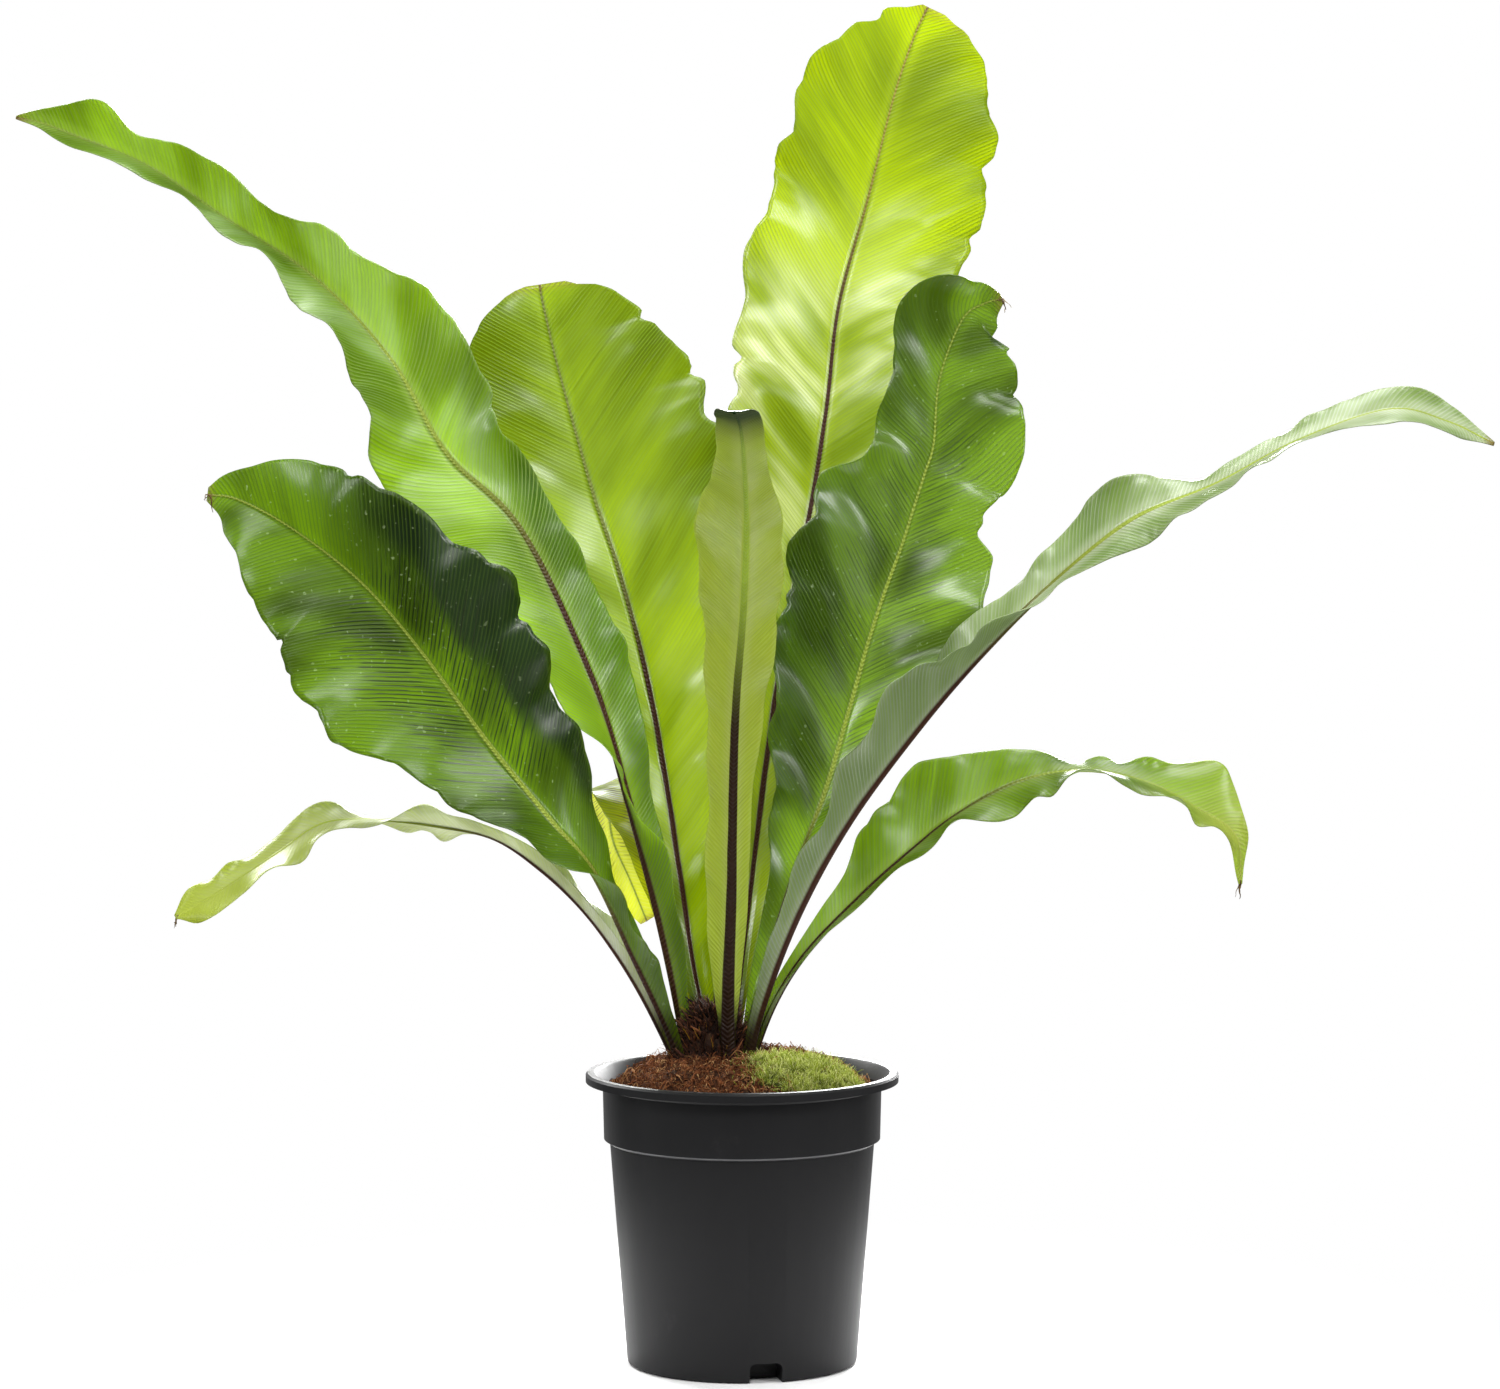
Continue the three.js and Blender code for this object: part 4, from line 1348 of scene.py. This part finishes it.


# %% [markdown]
# The fronds don't share one green. The tall one at the back has light behind it and glows
# yellow; the broad ones at the sides are older, darker and glossier, with rows of spore cases
# showing through as painted shadow; the one in front turns its paler, duller back to the viewer.
# The twisted one on the left is painted pale silver-grey, a painted sheen for the glare on it.

# %% Greens for each frond
# face, back: dark, middle and pale green of the upper and the under side
# glow, through, fade: colour of the light from behind, its share, and how much of it the tip loses
# seed, contrast, lighten: which bands a leaf has, how strong and how light they are
# veins, relief: how clear the side veins are in the colour and in the bumps
# painted_sheen, painted_sheen_colour: strength, start and end of the painted sheen, and its colour
# spots: strength of the pale specks
# tip, tip_block: start, end and colour of the tip, and how much light it stops
# sori, spore: start, end, reach and strength of the spore lines, and their colour; a dark green colour
# is their painted shadow
# dark: side, start, end and strength of the painted shadow along one margin
# beside: strength of the pale band beside the midrib
# rib, rib_turns, rib_wide: the midrib's two colours, where they meet, and its width
# gloss, wax: roughness and coat of the upper and the under side
# polish, dull: the coat's own roughness, and the share of the length at which it ends
PLAIN_LOOK = {
    "face": (tone(22, 54, 2), tone(60, 100, 4), tone(136, 166, 36)),
    "back": (tone(84, 112, 40), tone(112, 138, 58), tone(150, 168, 90)),
    "glow": tone(184, 212, 8),
    "through": 0.65,
    "fade": 0.1,
    "seed": 0.0,
    "contrast": 1.6,
    "lighten": 0.05,
    "veins": 0.45,
    "painted_sheen": (0.0, 0.0, 1.2),
    "painted_sheen_colour": tone(200, 210, 180),
    "spots": 0.0,
    "tip": (0.985, 1.0, tone(120, 100, 52)),
    "tip_block": 0.0,
    "sori": None,
    "dark": None,
    # dark green: the painted shadow of the spore cases, seen through the blade
    "spore_and_shadow": tone(34, 50, 8),
    "beside": 0.4,
    "rib": (tone(62, 34, 20), tone(150, 168, 60)),
    "rib_turns": 0.55,
    "rib_wide": 0.8,
    "gloss": (0.34, 0.5),
    "wax": (0.6, 0.3),
    "polish": 0.2,
    "relief": 1.0,
    "dull": 1.1,
}
LOOKS = {
    "frond_left_broad": {
        "face": (tone(8, 28, 2), tone(36, 70, 3), tone(104, 140, 24)),
        "back": (tone(60, 88, 28), tone(84, 112, 40), tone(120, 144, 60)),
        "contrast": 3.0,
        "seed": 3.0,
        "sori": (0.42, 0.8, 0.55, 0.95),
        "through": 0.5,
        "wax": (0.4, 0.3),
        "polish": 0.28,
        # painted shadow along the right margin, where the arching frond stands behind
        "dark": (1, 0.25, 0.86, 0.85),
        "spots": 0.6,
        "rib_turns": 0.3,
    },
    "frond_left_arching": {
        "face": (tone(50, 86, 12), tone(98, 138, 30), tone(168, 192, 92)),
        "glow": tone(206, 234, 8),
        "through": 0.68,
        "fade": 0.4,
        "rib_turns": 0.5,
        "painted_sheen": (0.5, 0.45, 0.95),
        "painted_sheen_colour": tone(182, 202, 160),
        "wax": (0.6, 0.3),
        "polish": 0.3,
        "seed": 1.0,
    },
    "frond_left_twisted": {
        # painted sheen: the pale silver-grey of face and back is the glare of the lights on the twisted
        # blade, laid into its greens
        "face": (tone(130, 146, 80), tone(180, 190, 130), tone(214, 216, 184)),
        "back": (tone(160, 170, 126), tone(204, 208, 176), tone(222, 224, 204)),
        "glow": tone(204, 216, 90),
        "through": 0.45,
        "painted_sheen": (0.8, 0.1, 0.75),
        "painted_sheen_colour": tone(232, 236, 224),
        "relief": 0.25,
        "veins": 0.15,
        "tip": (0.6, 1.0, tone(176, 190, 72)),
        "wax": (0.7, 0.6),
        "polish": 0.34,
    },
    "frond_back_left": {
        "glow": tone(196, 213, 10),
        "rib": (tone(62, 34, 20), tone(126, 136, 60)),
        "fade": 0.15,
        "wax": (1.0, 0.3),
        "polish": 0.24,
        "veins": 0.9,
        "painted_sheen": (0.5, 0.05, 0.6),
        "painted_sheen_colour": tone(206, 216, 120),
        "rib_turns": 0.6,
        "seed": 5.0,
    },
    "frond_tall": {
        "face": (tone(60, 94, 8), tone(100, 134, 12), tone(156, 180, 50)),
        "back": (tone(96, 124, 36), tone(140, 162, 56), tone(176, 190, 90)),
        "glow": tone(198, 210, 6),
        "through": 0.5,
        "fade": -0.35,
        "rib": (tone(62, 34, 20), tone(150, 140, 50)),
        "rib_turns": 0.78,
        "painted_sheen": (0.8, 0.35, 0.78),
        "painted_sheen_colour": tone(244, 246, 196),
        "veins": 0.4,
        "wax": (1.0, 0.2),
        "polish": 0.25,
        "dull": 0.84,
    },
    "frond_right_broad": {
        "face": (tone(10, 32, 2), tone(42, 78, 3), tone(112, 146, 28)),
        "back": (tone(60, 88, 28), tone(84, 112, 40), tone(120, 144, 60)),
        "contrast": 4.0,
        "seed": 7.0,
        "sori": (0.3, 0.86, 0.5, 0.6),
        "through": 0.54,
        "painted_sheen": (0.12, 0.1, 1.2),
        "painted_sheen_colour": tone(196, 210, 132),
        "spots": 0.5,
        "rib_turns": 0.3,
        "wax": (0.95, 0.2),
        "polish": 0.26,
    },
    "frond_right_arching": {
        "face": (tone(112, 138, 78), tone(144, 164, 106), tone(208, 214, 184)),
        "back": (tone(114, 136, 84), tone(144, 162, 112), tone(198, 206, 178)),
        "painted_sheen": (0.28, 0.3, 1.2),
        "painted_sheen_colour": tone(214, 222, 200),
        "relief": 0.4,
        "veins": 0.25,
        "wax": (0.8, 0.6),
        "polish": 0.3,
        "through": 0.4,
    },
    "frond_right_low": {
        "face": (tone(44, 74, 14), tone(90, 120, 32), tone(160, 176, 90)),
        "back": (tone(130, 146, 100), tone(170, 180, 136), tone(206, 210, 180)),
        "tip": (0.72, 1.0, tone(178, 186, 84)),
        "painted_sheen": (0.4, 0.1, 0.8),
        "relief": 0.5,
        "veins": 0.3,
        "polish": 0.3,
        "through": 0.55,
    },
    "frond_front": {
        "back": (tone(192, 216, 66), tone(210, 230, 80), tone(226, 236, 140)),
        "glow": tone(196, 214, 50),
        "through": 0.4,
        "tip": (0.8, 0.93, tone(14, 44, 6)),
        "tip_block": 0.9,
        "contrast": 0.8,
        "veins": 0.15,
        "gloss": (0.34, 0.42),
        "rib": (tone(44, 26, 14), tone(176, 206, 66)),
        "rib_turns": 0.5,
        "dull": 0.86,
    },
    "frond_back_drooping": {
        "back": (tone(200, 210, 60), tone(232, 236, 86), tone(236, 238, 130)),
        "glow": tone(224, 228, 40),
        "sori": (0.25, 0.9, 0.6, 0.8),
        "spore_and_shadow": tone(88, 66, 24),
    },
}

# %% [markdown]
# Each frond now takes one turn of a loop: its blade from the table, its two finishes, and the
# plain solid that it takes the place of.

# %% Grow the fronds
for node, frond in FRONDS.items():
    look = {**PLAIN_LOOK, **LOOKS[node]}
    mesh, length = blade_mesh(frond)
    finishes = [leaf_finish(f"{node}_face", look, True), leaf_finish(f"{node}_back", look, False)]
    piece(f"{node}_blade", mesh, finishes, node)
    print(f"  {length:.0f} mm along the midrib")

# %% [markdown]
# The last millimetres of four fronds have dried and rolled up into brown threads. They are the
# same kind of strand as the coir, each one starting at the end of its frond and curling down.

# %% Dried tips
DRIED = ["frond_left_broad", "frond_left_twisted", "frond_right_broad", "frond_right_low"]


def thread_path(dice, ends, joints):
    point = ends[-1]["middle"].copy()
    heading = (point - ends[-4]["middle"]).normalized()
    point -= heading * 2.5
    stride = dice.uniform(7, 15) / joints
    path = [point.copy()]
    for _ in range(joints):
        point += heading * stride
        path.append(point.copy())
        drift = Vector((dice.gauss(0, 0.4), dice.gauss(0, 0.4), dice.gauss(-0.35, 0.3)))
        heading = (heading + drift).normalized()
    return path


THREADS_EACH = 4
THREAD_JOINTS = 8
dice = random.Random(31)
tips = [sections_of(FRONDS[node]) for node in DRIED]
paths = [thread_path(dice, ends, THREAD_JOINTS) for ends in tips for _ in range(THREADS_EACH)]
widths = [0.45 + 0.12 * (number % THREADS_EACH) for number in range(len(paths))]
threads = strand_row(len(paths), THREAD_JOINTS, 6)
lay_strands(threads, paths, widths, THREAD_JOINTS, tip=0.3)
straw = tone(206, 190, 140)
dry = crown_finish("dried_leaf", tone(70, 52, 28), tone(140, 112, 64), straw, straw)
piece("dried_tips", threads, [dry])

# %% [markdown]
# The pot stands on a plain pale floor. Only a disc of it is drawn, and its edge fades away into
# the backdrop, so that no horizon shows behind the plant.

# %% Floor
def floor_finish():
    finish = Finish("pale_floor")
    place = finish.place()
    away = finish.node("ShaderNodeVectorMath", {"operation": "LENGTH"}, {0: place}, output=1)
    board = finish.surface(tone(250, 250, 250), 0.8)
    clear = finish.node("ShaderNodeBsdfTransparent")
    fade = away.step(0.22, 0.55)
    return finish.done(finish.node("ShaderNodeMixShader", values={0: fade, 1: board, 2: clear}))


floor_mesh = bmesh.new()
bmesh.ops.create_circle(floor_mesh, cap_ends=True, segments=96, radius=0.6)
data = bpy.data.meshes.new("floor")
floor_mesh.to_mesh(data)
floor_mesh.free()
data.materials.append(floor_finish())
floor = bpy.data.objects.new("floor", data)
bpy.context.scene.collection.objects.link(floor)
floor.location.z = -0.0005

# %% [markdown]
# The light is that of a bright studio: large soft boxes at both sides, above and behind, a white
# backdrop, and a weak glow from the floor in front. The boxes give the waxy faces their pale
# bands, and the ones behind shine through the blades. The surround is white to the camera but
# gives hardly any light, so that the boxes alone shape the leaves.

# %% Light
def soft_box(name, place, target, size, power):
    light = bpy.data.lights.new(name, "AREA")
    light.shape = "RECTANGLE"
    light.size, light.size_y = size
    light.energy = power
    lamp = bpy.data.objects.new(name, light)
    bpy.context.scene.collection.objects.link(lamp)
    lamp.location = place
    lamp.rotation_euler = (Vector(target) - Vector(place)).to_track_quat("-Z", "Y").to_euler()
    return lamp


soft_box("box_front_left", (-2.0, -1.45, 1.6), (0, 0, 0.5), (0.4, 1.6), 24)
soft_box("box_front_right", (2.0, -1.45, 1.5), (0, 0, 0.5), (0.6, 1.5), 30)
soft_box("box_front_top", (-0.1, -2.4, 1.95), (0, 0, 0.6), (1.1, 0.65), 26)
soft_box("strip_left", (-2.4, -0.2, 0.9), (0, 0, 0.4), (0.3, 1.8), 9)
soft_box("strip_right", (2.4, -0.1, 0.9), (0, 0, 0.4), (0.25, 1.8), 8)
soft_box("box_above", (0.5, -0.2, 2.6), (0, 0, 0.5), (2.4, 1.1), 58)
soft_box("box_behind_right", (0.5, 2.5, 1.35), (0, 0, 0.5), (1.3, 1.1), 190)
soft_box("box_behind_left", (-1.4, 1.9, 2.1), (0, 0, 0.5), (1.0, 1.0), 80)
soft_box("floor_glow", (0.0, -1.8, 0.0), (0, -0.9, 1.2), (3.2, 2.0), 3.5)
soft_box("backdrop", (0.0, 2.6, 1.0), (0, 0, 0.6), (7.0, 4.4), 45)

world = bpy.data.worlds.new("surround")
bpy.context.scene.world = world
world.use_nodes = True
tree = world.node_tree
tree.nodes.clear()
seen = tree.nodes.new("ShaderNodeLightPath")
backdrop = tree.nodes.new("ShaderNodeBackground")
SURROUND_LIGHT = 0.025
strength = Wire(seen.outputs["Is Camera Ray"]) * (1 - SURROUND_LIGHT) + SURROUND_LIGHT
plug(backdrop.inputs["Color"], (1.0, 1.0, 1.0, 1.0))
plug(backdrop.inputs["Strength"], strength)
out = tree.nodes.new("ShaderNodeOutputWorld")
plug(out.inputs["Surface"], Wire(backdrop.outputs[0]))

# %% [markdown]
# The photograph was taken from the front, a little above the middle of the plant, with a long
# lens. The view keeps the plain Standard curve, because it holds the fresh greens and lets the
# backdrop go to white.

# %% Camera and size
LOOK_DOWN = 3.75
lens = bpy.data.cameras.new("camera")
lens.sensor_width = 36.0
lens.lens = 118.8
camera = bpy.data.objects.new("camera", lens)
bpy.context.scene.collection.objects.link(camera)
camera.location = (0.0053, -3.3, 0.666)
camera.rotation_euler = (math.radians(90 - LOOK_DOWN), 0, 0)
bpy.context.scene.camera = camera
bpy.context.scene.view_settings.view_transform = "Standard"

print("triangles in all:", sum(count for _, count in made))
